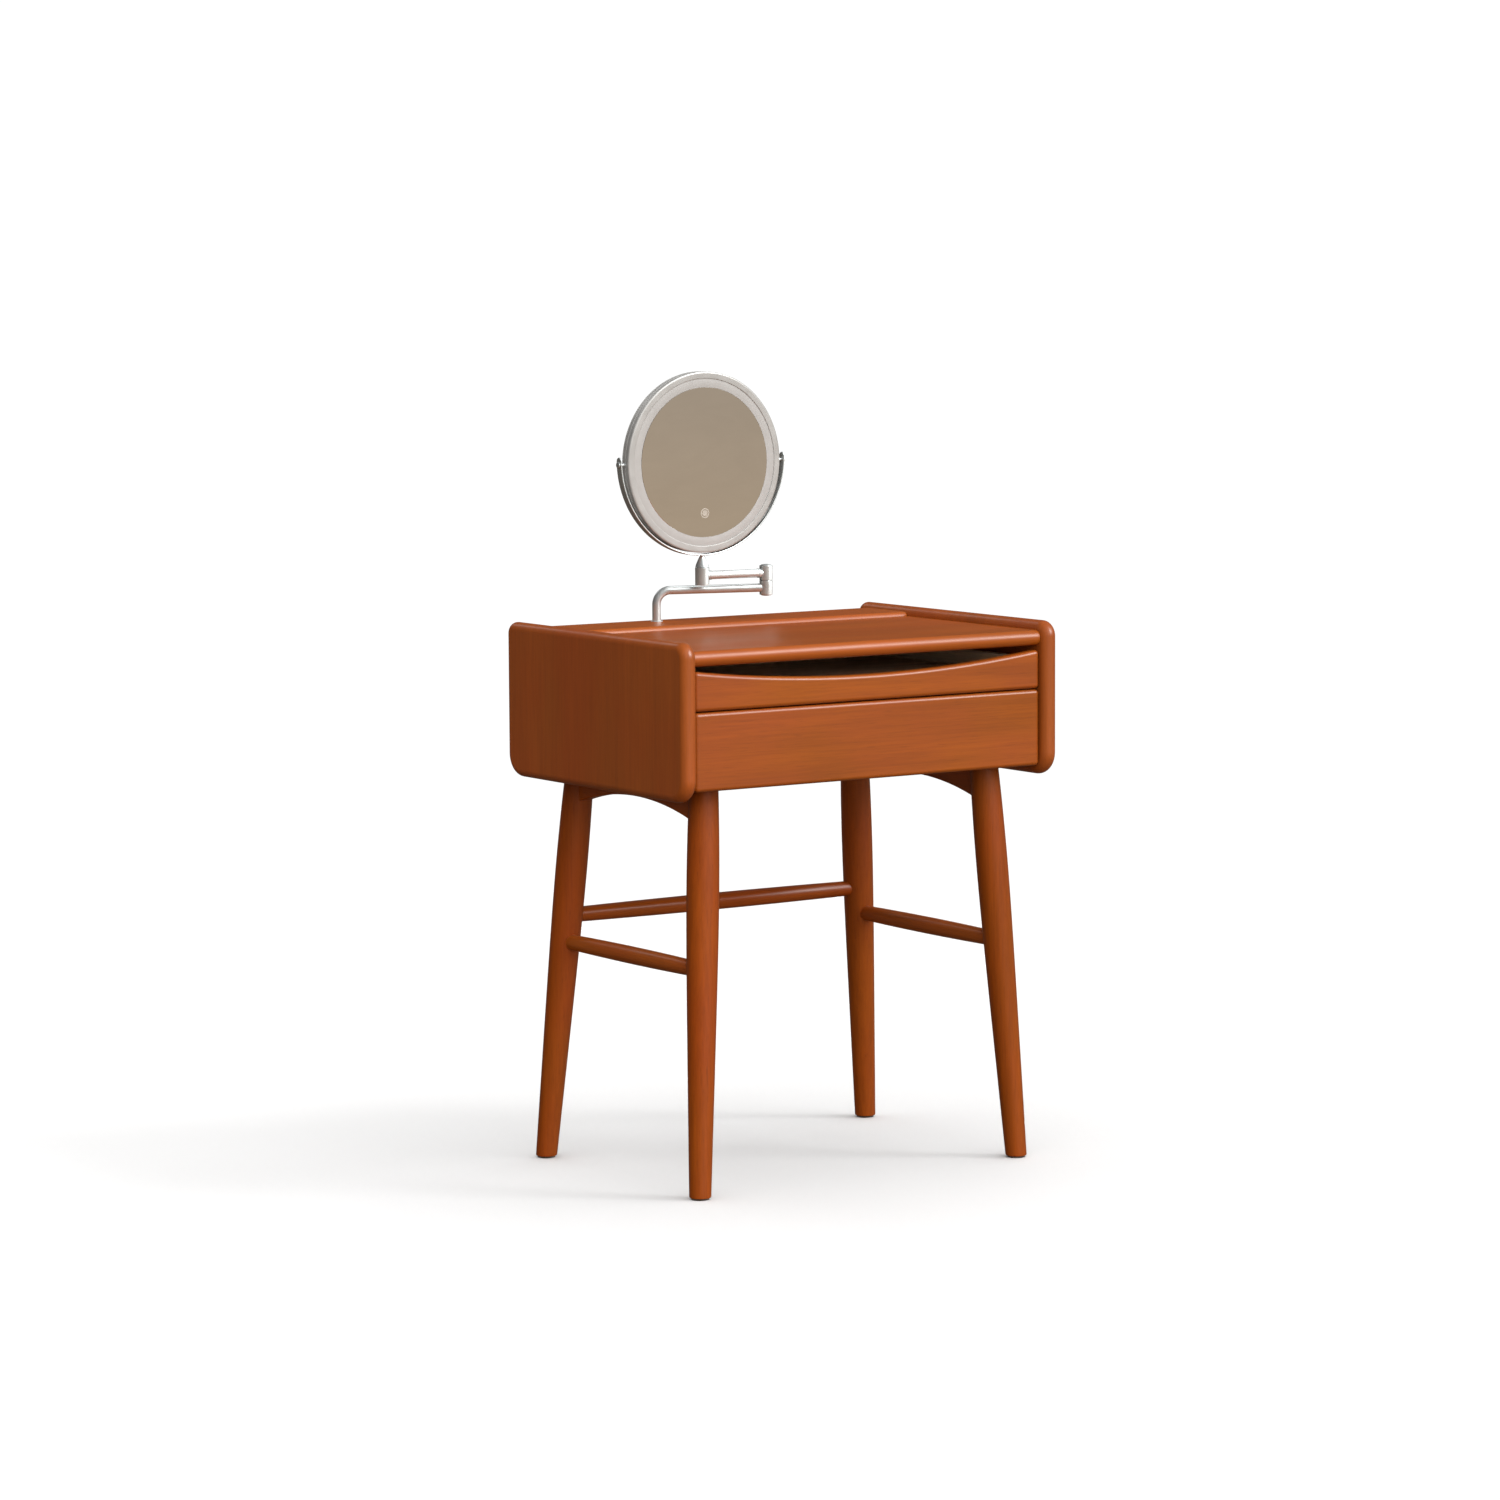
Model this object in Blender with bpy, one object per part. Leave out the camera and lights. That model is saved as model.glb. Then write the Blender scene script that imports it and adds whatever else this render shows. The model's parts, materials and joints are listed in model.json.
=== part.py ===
"""Vanity table with two drawers and a round lighted mirror on a folding arm.

Metres, +Z up. The front faces -Y, and the origin is on the floor under the middle of the table.
"""
import math
from collections import namedtuple

import bmesh
import bpy
from mathutils import Matrix, Vector

GAP = 0.0003                      # between pieces that touch

# Case
CASE_WIDTH = 0.620                # over the two side panels
CASE_DEPTH = 0.455
PANEL_THICKNESS = 0.0235
PANEL_BOTTOM = 0.539
PANEL_TOP = 0.754
PANEL_FRONT_CORNER = 0.022        # at the top
PANEL_REAR_CORNER = 0.016
PANEL_BOTTOM_CORNER = 0.032
BULLNOSE = 0.0113
FACE_SETBACK = 0.0104             # drawer fronts behind the panels' front edges
TOP_SURFACE = 0.741
TOP_THICKNESS = 0.021
LEDGE_TOP = 0.747
LEDGE_FRONT = 0.0995
LEDGE_BACK = 0.200
LEDGE_ROUNDING = 0.008
BOTTOM_PANEL_LOW = 0.560
BOTTOM_PANEL_THICKNESS = 0.012
BACK_PANEL_THICKNESS = 0.008
DIVIDER_LOW = 0.6555
DIVIDER_THICKNESS = 0.010

INNER_X = CASE_WIDTH / 2 - PANEL_THICKNESS
FRONT_FACE = -CASE_DEPTH / 2 + FACE_SETBACK
TOP_UNDERSIDE = TOP_SURFACE - TOP_THICKNESS
SHELF_X = INNER_X - GAP

# Drawers
FRONT_THICKNESS = 0.0185
FRONT_SIDE_GAP = 0.0016
FRONT_ROUNDING = 0.0055
UPPER_FRONT_Z = (0.6605, 0.715)
LOWER_FRONT_Z = (0.553, 0.659)
SCOOP_DEPTH = 0.0187
BOX_BACK = 0.158
BOX_WALL = 0.012
BOX_FLOOR = 0.005
SLIDE_SPACE = 0.0124              # between a side panel and a drawer's side
SLIDE_WALL = 0.0012
SLIDE_LENGTH = 0.330
UPPER_BOX_Z = (0.6705, 0.7055)
LOWER_BOX_Z = (0.581, 0.650)
UPPER_SLIDE_HEIGHT = 0.027
LOWER_SLIDE_HEIGHT = 0.045

# Legs and rails
FRONT_FOOT_X = 0.265
REAR_FOOT_X = 0.274
FOOT_Y = 0.1904
LEG_HEAD = Vector((0.2345, 0.1583, 0.533))    # the axes of a front and a rear leg both lean to this x and y
FOOT_RADIUS = 0.0149
SWELL_RADIUS = 0.0222
LEG_TOP_RADIUS = 0.0195
SWELL_HEIGHT = 0.415
FOOT_PAD_THICKNESS = 0.002
FOOT_PAD_RADIUS = 0.0125
TENON_RADIUS = 0.011
LEG_SIDES = 20
SIDE_STRETCHER_Z = 0.307
REAR_STRETCHER_Z = 0.343
STRETCHER_RADIUS = 0.0122
STRETCHER_END_RADIUS = 0.0104
APRON_X = 0.2355
APRON_THICKNESS = 0.020
APRON_LOW_Z = 0.501               # at the legs' axes
APRON_ARCH = 0.0215

# Mirror arm
POST = Vector((-0.094, 0.174, 0.0))
ELBOW = Vector((0.061, 0.128, 0.0))
HUB = Vector((-0.039, 0.140, 0.0))
ARM_RADIUS = 0.006
ARM_BEND_RADIUS = 0.020
POST_LOW = 0.7115
LOWER_BAR_Z = 0.7908
UPPER_BAR_Z = 0.8114
KNUCKLE_RADIUS = 0.0092
KNUCKLE_BORE = 0.0033
KNUCKLE_Z = (0.7806, 0.8011, 0.8223)
HUB_RADIUS = 0.010
HUB_Z = (0.7978, 0.8228)
HUB_BORE = 0.0043
ELBOW_SOCKET_DEPTH = 0.005        # an arm's end stops this far from the elbow's axis
HUB_SOCKET_DEPTH = 0.0057
BUSH_RADIUS = 0.008

# Mirror
MIRROR_Z = 0.9708
MIRROR_RADIUS = 0.127
MIRROR_DEPTH = 0.018
GLASS_RADIUS = 0.1052
BEZEL_WIDTH = 0.0097
YOKE_RADIUS = 0.1376
YOKE_RISE = 0.0064                # the half ring's centre stands above the tilt axis
YOKE_THICKNESS = 0.0022
YOKE_WIDTH = 0.012
YOKE_TIP = 0.004
MIRROR_SIDES = 48

Joint = namedtuple("Joint", "empty place")

COLOURS = {                       # linear base colour, roughness, metallic
    "panel_wood": ((0.22, 0.055, 0.018), 0.42, 0.0),
    "top_wood": ((0.28, 0.075, 0.024), 0.38, 0.0),
    "front_wood": ((0.36, 0.105, 0.028), 0.42, 0.0),
    "leg_wood": ((0.30, 0.080, 0.020), 0.42, 0.0),
    "drawer_wood": ((0.42, 0.24, 0.12), 0.60, 0.0),
    "case_board": ((0.20, 0.070, 0.028), 0.60, 0.0),
    "slide_steel": ((0.55, 0.56, 0.57), 0.35, 1.0),
    "foot_felt": ((0.06, 0.045, 0.035), 0.95, 0.0),
    "satin_metal": ((0.62, 0.61, 0.59), 0.26, 1.0),
    "bezel_metal": ((0.78, 0.77, 0.75), 0.30, 1.0),
    "mirror_silver": ((0.80, 0.80, 0.80), 0.03, 1.0),
    "light_diffuser": ((0.86, 0.86, 0.84), 0.50, 0.0),
    "circuit_board": ((0.75, 0.76, 0.74), 0.55, 0.0),
    "battery_wrap": ((0.10, 0.16, 0.30), 0.50, 0.0),
    "port_plastic": ((0.03, 0.03, 0.03), 0.45, 0.0),
}
MATERIALS = {}


def make_materials():
    for name, (colour, roughness, metallic) in COLOURS.items():
        material = bpy.data.materials.new(name)
        material.use_nodes = True
        shader = material.node_tree.nodes["Principled BSDF"]
        shader.inputs["Base Color"].default_value = (*colour, 1.0)
        shader.inputs["Roughness"].default_value = roughness
        shader.inputs["Metallic"].default_value = metallic
        MATERIALS[name] = material


def make_joint(name, place, parent=None):
    """An empty on a joint's axis. What moves with the joint is parented to it."""
    empty = bpy.data.objects.new(name, None)
    bpy.context.scene.collection.objects.link(empty)
    empty.empty_display_size = 0.03
    empty.location = place - parent.place if parent else place
    empty.parent = parent.empty if parent else None
    return Joint(empty, place)


# ---- Shapes, as bmeshes in world coordinates ----

def box_shape(low, high):
    shape = bmesh.new()
    size = Vector(high) - Vector(low)
    middle = (Vector(high) + Vector(low)) / 2
    place = Matrix.Translation(middle) @ Matrix.Diagonal(size).to_4x4()
    bmesh.ops.create_cube(shape, size=1.0, matrix=place)
    return shape


def extruded_shape(outline, axis, start, end):
    """Extrudes an outline of (u, v) points along an axis. For X they are (y, z), for Y (x, z), for Z (x, y)."""
    def place(u, v, along):
        return {"X": (along, u, v), "Y": (u, along, v), "Z": (u, v, along)}[axis]

    shape = bmesh.new()
    near = shape.faces.new([shape.verts.new(place(u, v, start)) for u, v in outline])
    far = bmesh.ops.extrude_face_region(shape, geom=[near])["geom"]
    step = Vector(place(0, 0, end)) - Vector(place(0, 0, start))
    moved = [item for item in far if isinstance(item, bmesh.types.BMVert)]
    bmesh.ops.translate(shape, vec=step, verts=moved)
    return shape


def lofted_shape(rings, closed=False):
    """Joins rings of points. An open loft is capped at both ends, and a closed one meets its own start."""
    shape = bmesh.new()
    loops = []
    for ring in rings:
        loops.append([shape.verts.new(point) for point in ring])
    pairs = list(zip(loops, loops[1:]))
    if closed:
        pairs.append((loops[-1], loops[0]))
    for lower, upper in pairs:
        count = max(len(lower), len(upper))
        for index in range(count):
            following = (index + 1) % count
            corners = []
            for loop, places in ((lower, (index, following)), (upper, (following, index))):
                if len(loop) == 1:
                    corners.append(loop[0])
                else:
                    corners += [loop[step] for step in places]
            shape.faces.new(corners)
    if not closed:
        for loop in (loops[0], loops[-1]):
            if len(loop) > 1:
                shape.faces.new(loop)
    return shape


def turned_shape(profile, centre, axis="Z", sides=32, closed=False):
    """Turns (radius, height) points about an axis through centre. A radius of 0 is one point on it."""
    rings = []
    for radius, height in profile:
        ring = []
        for index in range(sides if radius > 0 else 1):
            angle = 2 * math.pi * index / sides
            across, along = radius * math.cos(angle), radius * math.sin(angle)
            offset = {"X": (height, across, along),
                      "Y": (across, height, along),
                      "Z": (across, along, height)}[axis]
            ring.append(Vector(centre) + Vector(offset))
        rings.append(ring)
    return lofted_shape(rings, closed)


def rod_shape(start, end, radius, sides=16):
    """A straight round rod between two points."""
    direction = Vector(end) - Vector(start)
    turn = direction.to_track_quat("Z", "Y")
    circle = [turn @ Vector((radius * math.cos(2 * math.pi * index / sides),
                             radius * math.sin(2 * math.pi * index / sides), 0))
              for index in range(sides)]
    return lofted_shape([[Vector(start) + point for point in circle], [Vector(end) + point for point in circle]])


def arc_points(centre, radius, start_degrees, end_degrees, steps):
    points = []
    for index in range(steps + 1):
        angle = math.radians(start_degrees + (end_degrees - start_degrees) * index / steps)
        points.append((centre[0] + radius * math.cos(angle), centre[1] + radius * math.sin(angle)))
    return points


def sagging_points(start, end, sag, steps):
    """Points along a circular arc from start to end whose middle lies sag below the straight line."""
    half = (end[0] - start[0]) / 2
    radius = (half * half + sag * sag) / (2 * abs(sag))
    points = []
    for index in range(steps + 1):
        across = -half + 2 * half * index / steps
        drop = abs(sag) - (radius - math.sqrt(radius * radius - across * across))
        points.append((start[0] + half + across, start[1] - math.copysign(drop, sag)))
    return points


# ---- Objects ----

def add_piece(name, shape, slot, joint=None, smooth=False):
    """Makes a named object from a shape, with its origin on its joint's axis."""
    bmesh.ops.recalc_face_normals(shape, faces=shape.faces)
    mesh = bpy.data.meshes.new(name)
    shape.to_mesh(mesh)
    shape.free()
    mesh.materials.append(MATERIALS[slot])
    if smooth:
        mesh.shade_smooth()
        mesh.set_sharp_from_angle(angle=math.radians(35))
    piece = bpy.data.objects.new(name, mesh)
    bpy.context.scene.collection.objects.link(piece)
    if joint:
        mesh.transform(Matrix.Translation(-joint.place))
        piece.parent = joint.empty
    return piece


def round_edges(piece, width, segments):
    bevel = piece.modifiers.new("rounded_edges", "BEVEL")
    bevel.width = width
    bevel.segments = segments
    bevel.limit_method = "ANGLE"
    bevel.angle_limit = math.radians(40)


def cut(piece, shape, name, joint=None):
    """Cuts a shape out of a piece with a Boolean, and keeps the cutter as a hidden helper."""
    cutter = add_piece(f"{piece.name}_{name}", shape, "case_board", joint)
    cutter.hide_render = True
    cutter.display_type = "WIRE"
    boolean = piece.modifiers.new(name, "BOOLEAN")
    boolean.operation = "DIFFERENCE"
    boolean.solver = "EXACT"
    boolean.object = cutter


def side_name(side):
    return "right" if side > 0 else "left"


# ---- Case ----

def rounded_panel_outline():
    front, back = -CASE_DEPTH / 2, CASE_DEPTH / 2
    corners = (
        (front, PANEL_BOTTOM, PANEL_BOTTOM_CORNER, 180),
        (back, PANEL_BOTTOM, PANEL_BOTTOM_CORNER, 270),
        (back, PANEL_TOP, PANEL_REAR_CORNER, 0),
        (front, PANEL_TOP, PANEL_FRONT_CORNER, 90),
    )
    outline = []
    for y, z, radius, angle in corners:
        centre = (y - math.copysign(radius, y), z + (radius if z == PANEL_BOTTOM else -radius))
        outline += arc_points(centre, radius, angle, angle + 90, 6)
    return outline


def make_side_panels():
    for side in (-1, 1):
        shape = extruded_shape(rounded_panel_outline(), "X", side * INNER_X, side * CASE_WIDTH / 2)
        panel = add_piece(f"{side_name(side)}_side_panel", shape, "panel_wood", smooth=True)
        round_edges(panel, BULLNOSE, 4)


def make_table_top():
    nose = TOP_THICKNESS / 2
    back = LEDGE_FRONT - GAP
    outline = arc_points((FRONT_FACE + nose, TOP_UNDERSIDE + nose), nose, 90, 270, 10)
    outline += [(back, TOP_UNDERSIDE), (back, TOP_SURFACE)]
    add_piece("table_top", extruded_shape(outline, "X", -SHELF_X, SHELF_X), "top_wood", smooth=True)


def make_rear_ledge():
    corner = (LEDGE_FRONT + LEDGE_ROUNDING, LEDGE_TOP - LEDGE_ROUNDING)
    outline = arc_points(corner, LEDGE_ROUNDING, 180, 90, 5)
    outline += [(LEDGE_BACK, LEDGE_TOP), (LEDGE_BACK, TOP_UNDERSIDE), (LEDGE_FRONT, TOP_UNDERSIDE)]
    ledge = add_piece("rear_ledge", extruded_shape(outline, "X", -SHELF_X, SHELF_X), "top_wood", smooth=True)
    low, high = POST + Vector((0, 0, TOP_UNDERSIDE - 0.01)), POST + Vector((0, 0, LEDGE_TOP + 0.01))
    cut(ledge, rod_shape(low, high, BUSH_RADIUS + GAP, 24), "post_hole")


def make_case_boards():
    front = FRONT_FACE + FRONT_THICKNESS + 0.002
    back = LEDGE_BACK - BACK_PANEL_THICKNESS
    boards = (("bottom_panel", BOTTOM_PANEL_LOW, BOTTOM_PANEL_THICKNESS),
              ("divider_panel", DIVIDER_LOW, DIVIDER_THICKNESS))
    for name, low, thickness in boards:
        shape = box_shape((-SHELF_X, front, low), (SHELF_X, back - GAP, low + thickness))
        board = add_piece(name, shape, "case_board")
        if name == "bottom_panel":
            for side, end in LEG_PLACES:
                tenon = leg_shape(side, end, ((low - 0.01, TENON_RADIUS), (low + 0.03, TENON_RADIUS)), GAP)
                cut(board, tenon, f"{leg_name(side, end)}_mortise")
    shape = box_shape((-SHELF_X, back, BOTTOM_PANEL_LOW), (SHELF_X, LEDGE_BACK, TOP_UNDERSIDE - GAP))
    add_piece("back_panel", shape, "case_board")


# ---- Legs and rails ----

LEG_PLACES = ((-1, -1), (1, -1), (-1, 1), (1, 1))


def leg_name(side, end):
    return f"{'rear' if end > 0 else 'front'}_{side_name(side)}_leg"


def leg_centre(side, end, height):
    """A point on a leg's axis, which runs straight from its foot to its head."""
    foot = Vector((REAR_FOOT_X if end > 0 else FRONT_FOOT_X, FOOT_Y, 0))
    point = foot.lerp(LEG_HEAD, height / LEG_HEAD.z)
    return Vector((side * point.x, end * point.y, height))


def leg_radius(height):
    """A straight taper up to the swell, eased into it, then a gentle narrowing to the top."""
    if height < SWELL_HEIGHT:
        part = height / SWELL_HEIGHT
        return FOOT_RADIUS + (SWELL_RADIUS - FOOT_RADIUS) * (1.2 * part - 0.2 * part ** 6)
    part = (height - SWELL_HEIGHT) / (BOTTOM_PANEL_LOW - SWELL_HEIGHT)
    return SWELL_RADIUS - (SWELL_RADIUS - LEG_TOP_RADIUS) * part * part


def leg_shape(side, end, stations, extra=0.0):
    """Level rings about a leaning centre line. Stations are (height, radius)."""
    rings = []
    for height, radius in stations:
        centre = leg_centre(side, end, height)
        ring = []
        for index in range(LEG_SIDES):
            angle = 2 * math.pi * index / LEG_SIDES
            ring.append(centre + (radius + extra) * Vector((math.cos(angle), math.sin(angle), 0)))
        rings.append(ring)
    return lofted_shape(rings)


def leg_stations():
    low, high = FOOT_PAD_THICKNESS + GAP, BOTTOM_PANEL_LOW - GAP
    heights = [low, 0.08, 0.17, 0.26, 0.33, 0.38, SWELL_HEIGHT, 0.455, 0.49, 0.525, high]
    return [(height, leg_radius(height)) for height in heights]


def make_legs():
    tenon_top = BOTTOM_PANEL_LOW + BOTTOM_PANEL_THICKNESS - GAP
    for side, end in LEG_PLACES:
        name = leg_name(side, end)
        stations = leg_stations() + [(BOTTOM_PANEL_LOW - GAP, TENON_RADIUS), (tenon_top, TENON_RADIUS)]
        leg = add_piece(name, leg_shape(side, end, stations), "leg_wood", smooth=True)
        axis = leg_centre(side, end, SIDE_STRETCHER_Z)
        mouth = axis - Vector((0, end * 0.05, 0))
        cut(leg, rod_shape(axis, mouth, STRETCHER_END_RADIUS + GAP), "side_bore")
        if end > 0:
            axis = leg_centre(side, end, REAR_STRETCHER_Z)
            mouth = axis - Vector((side * 0.05, 0, 0))
            cut(leg, rod_shape(axis, mouth, STRETCHER_END_RADIUS + GAP), "rear_bore")
        place = leg_centre(side, end, 0)
        profile = ((FOOT_PAD_RADIUS, 0), (FOOT_PAD_RADIUS, FOOT_PAD_THICKNESS))
        pad = turned_shape(profile, place, sides=20)
        add_piece(f"{name.replace('_leg', '')}_foot_pad", pad, "foot_felt", smooth=True)


def stretcher_shape(start, end):
    """A spindle, thickest in its middle. Its ends sit in bores in the legs."""
    direction = (end - start).normalized()
    start, end = start + direction * GAP, end - direction * GAP
    across = direction.cross(Vector((0, 0, 1)))
    rings = []
    for part in (0.0, 0.05, 0.12, 0.25, 0.40, 0.60, 0.75, 0.88, 0.95, 1.0):
        swell = math.sin(math.pi * part) ** 0.7
        radius = STRETCHER_END_RADIUS + (STRETCHER_RADIUS - STRETCHER_END_RADIUS) * swell
        if part in (0.0, 0.05, 0.95, 1.0):
            radius = STRETCHER_END_RADIUS
        centre = start.lerp(end, part)
        ring = []
        for index in range(16):
            angle = 2 * math.pi * index / 16
            ring.append(centre + radius * (math.cos(angle) * across + math.sin(angle) * Vector((0, 0, 1))))
        rings.append(ring)
    return lofted_shape(rings)


def make_stretchers():
    for side in (-1, 1):
        front, rear = leg_centre(side, -1, SIDE_STRETCHER_Z), leg_centre(side, 1, SIDE_STRETCHER_Z)
        add_piece(f"{side_name(side)}_side_stretcher", stretcher_shape(front, rear), "leg_wood", smooth=True)
    left, right = leg_centre(-1, 1, REAR_STRETCHER_Z), leg_centre(1, 1, REAR_STRETCHER_Z)
    add_piece("rear_stretcher", stretcher_shape(left, right), "leg_wood", smooth=True)


def make_aprons():
    """Arched boards under the case, coped to the legs at both ends."""
    top = BOTTOM_PANEL_LOW - GAP
    end_y = leg_centre(1, 1, top).y
    outline = sagging_points((-end_y, APRON_LOW_Z), (end_y, APRON_LOW_Z), -APRON_ARCH, 14)
    outline += [(end_y, top), (-end_y, top)]
    for side in (-1, 1):
        near, far = side * APRON_X - APRON_THICKNESS / 2, side * APRON_X + APRON_THICKNESS / 2
        apron = add_piece(f"{side_name(side)}_apron", extruded_shape(outline, "X", near, far), "leg_wood")
        for end in (-1, 1):
            heights = (0.48, APRON_LOW_Z, 0.525, top, top + 0.02)
            stations = [(height, leg_radius(min(height, top))) for height in heights]
            cut(apron, leg_shape(side, end, stations, GAP), f"{leg_name(side, end)}_cope")


# ---- Drawers ----

def slide_shapes(side, middle, height, front):
    """A fixed channel and the rail that runs in it, as outlines pushed along Y."""
    def outline(points):
        return [(side * (SHELF_X - depth), middle + rise) for depth, rise in points]

    half = height / 2
    lip, wall = 0.009, SLIDE_WALL
    channel = outline(((0, -half), (lip, -half), (lip, wall - half), (wall, wall - half),
                       (wall, half - wall), (lip, half - wall), (lip, half), (0, half)))
    bar, plate = half - 0.004, half + 0.001
    outer = SLIDE_SPACE - GAP
    rail = outline(((0.0025, -bar), (outer - wall, -bar), (outer - wall, -plate), (outer, -plate),
                    (outer, plate), (outer - wall, plate), (outer - wall, bar), (0.0025, bar)))
    return (extruded_shape(channel, "Y", front + 0.002, front + SLIDE_LENGTH),
            extruded_shape(rail, "Y", front + GAP, front + SLIDE_LENGTH - 0.002))


def make_drawer(level, front_shape, box_z, slide_height, joint):
    """A false front, two grooved sides, a back, a floor and a slide on each side."""
    low, high = box_z
    box_front = FRONT_FACE + FRONT_THICKNESS + GAP
    outer_x = SHELF_X - SLIDE_SPACE
    inner_x = outer_x - BOX_WALL
    floor_low = low + 0.008
    groove = 0.005
    front = add_piece(f"{level}_drawer_front", front_shape, "front_wood", joint, smooth=True)
    round_edges(front, FRONT_ROUNDING, 3)
    for side in (-1, 1):
        outline = [(side * x, z) for x, z in (
            (outer_x, low), (outer_x, high), (inner_x, high), (inner_x, floor_low + BOX_FLOOR + GAP),
            (inner_x + groove, floor_low + BOX_FLOOR + GAP), (inner_x + groove, floor_low - GAP),
            (inner_x, floor_low - GAP), (inner_x, low))]
        shape = extruded_shape(outline, "Y", box_front, BOX_BACK)
        add_piece(f"{level}_drawer_{side_name(side)}_side", shape, "drawer_wood", joint)
        channel, rail = slide_shapes(side, (low + high) / 2, slide_height, box_front)
        add_piece(f"{level}_{side_name(side)}_case_slide", channel, "slide_steel")
        add_piece(f"{level}_{side_name(side)}_drawer_slide", rail, "slide_steel", joint)
    back_low = floor_low + BOX_FLOOR + GAP
    back = box_shape((GAP - inner_x, BOX_BACK - BOX_WALL, back_low), (inner_x - GAP, BOX_BACK, high))
    add_piece(f"{level}_drawer_back", back, "drawer_wood", joint)
    floor_x = inner_x + groove - GAP
    floor = box_shape((-floor_x, box_front, floor_low), (floor_x, BOX_BACK, floor_low + BOX_FLOOR))
    add_piece(f"{level}_drawer_floor", floor, "drawer_wood", joint)


def make_drawers():
    half = INNER_X - FRONT_SIDE_GAP
    back = FRONT_FACE + FRONT_THICKNESS
    low, high = UPPER_FRONT_Z
    outline = [(-half, low), (half, low)] + sagging_points((-half, high), (half, high), SCOOP_DEPTH, 28)[::-1]
    scooped = extruded_shape(outline, "Y", FRONT_FACE, back)
    joint = make_joint("upper_drawer_slide", Vector((0, FRONT_FACE, sum(UPPER_FRONT_Z) / 2)))
    make_drawer("upper", scooped, UPPER_BOX_Z, UPPER_SLIDE_HEIGHT, joint)

    plain = box_shape((-half, FRONT_FACE, LOWER_FRONT_Z[0]), (half, back, LOWER_FRONT_Z[1]))
    joint = make_joint("lower_drawer_slide", Vector((0, FRONT_FACE, sum(LOWER_FRONT_Z) / 2)))
    make_drawer("lower", plain, LOWER_BOX_Z, LOWER_SLIDE_HEIGHT, joint)


# ---- Mirror arm ----

def socket_shape(hinge, towards, height, depth):
    """The bore that an arm's end sits in, from near the hinge's axis out past the wall."""
    direction = (towards - hinge).normalized()
    lift = Vector((0, 0, height))
    near = hinge + direction * (depth - GAP) + lift
    return rod_shape(near, hinge + direction * 0.03 + lift, ARM_RADIUS + GAP)


def add_tube(name, points, joint):
    """A round bar as a bevelled curve through points."""
    curve = bpy.data.curves.new(name, "CURVE")
    curve.dimensions = "3D"
    curve.bevel_depth = ARM_RADIUS
    curve.bevel_resolution = 4
    curve.use_fill_caps = True
    spline = curve.splines.new("POLY")
    spline.points.add(len(points) - 1)
    for target, point in zip(spline.points, points):
        target.co = (*(point - joint.place), 1.0)
    curve.materials.append(MATERIALS["satin_metal"])
    tube = bpy.data.objects.new(name, curve)
    bpy.context.scene.collection.objects.link(tube)
    tube.parent = joint.empty


def knuckle_shape(low, high):
    """A short barrel with a bore for the elbow's pin."""
    edge = 0.0006
    radius = KNUCKLE_RADIUS
    profile = ((KNUCKLE_BORE, low), (radius - edge, low), (radius, low + edge),
               (radius, high - edge), (radius - edge, high), (KNUCKLE_BORE, high))
    return turned_shape(profile, ELBOW, sides=24, closed=True)


def make_lower_arm(joint):
    direction = (ELBOW - POST).normalized()
    bend_centre = POST + direction * ARM_BEND_RADIUS + Vector((0, 0, LOWER_BAR_Z - ARM_BEND_RADIUS))
    points = [POST + Vector((0, 0, POST_LOW))]
    for index in range(9):
        angle = math.pi / 2 * index / 8
        offset = -direction * math.cos(angle) + Vector((0, 0, math.sin(angle)))
        points.append(bend_centre + ARM_BEND_RADIUS * offset)
    points.append(ELBOW - direction * ELBOW_SOCKET_DEPTH + Vector((0, 0, LOWER_BAR_Z)))
    add_tube("lower_arm", points, joint)

    low, middle, high = KNUCKLE_Z
    knuckle = add_piece("lower_elbow_knuckle", knuckle_shape(low, middle - GAP / 2), "satin_metal", joint, True)
    cut(knuckle, socket_shape(ELBOW, POST, LOWER_BAR_Z, ELBOW_SOCKET_DEPTH), "arm_socket", joint)

    head, shaft, thick = 0.0070, KNUCKLE_BORE - GAP, 0.0014
    profile = ((head, low - GAP - thick), (head, low - GAP), (shaft, low - GAP),
               (shaft, high + GAP), (head, high + GAP), (head, high + GAP + thick))
    add_piece("elbow_pin", turned_shape(profile, ELBOW, sides=24), "satin_metal", joint, True)

    nut_low, nut_high = POST_LOW + 0.0008, TOP_UNDERSIDE - GAP
    hexagon = rod_shape(POST + Vector((0, 0, nut_low)), POST + Vector((0, 0, nut_high)), 0.011, 6)
    nut = add_piece("post_nut", hexagon, "slide_steel", joint)
    bore = rod_shape(POST + Vector((0, 0, nut_low - 0.01)), POST + Vector((0, 0, nut_high + 0.01)),
                     ARM_RADIUS + GAP, 24)
    cut(nut, bore, "bore", joint)


def make_post_bush():
    """The sleeve in the ledge that the post turns in, with a thin collar on top."""
    inner, collar = ARM_RADIUS + GAP, 0.0088
    low, seat, top = TOP_UNDERSIDE + GAP, LEDGE_TOP + GAP, LEDGE_TOP + 0.0013
    profile = ((inner, low), (BUSH_RADIUS, low), (BUSH_RADIUS, seat), (collar, seat), (collar, top), (inner, top))
    add_piece("post_bush", turned_shape(profile, POST, sides=24, closed=True), "satin_metal", smooth=True)


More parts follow.
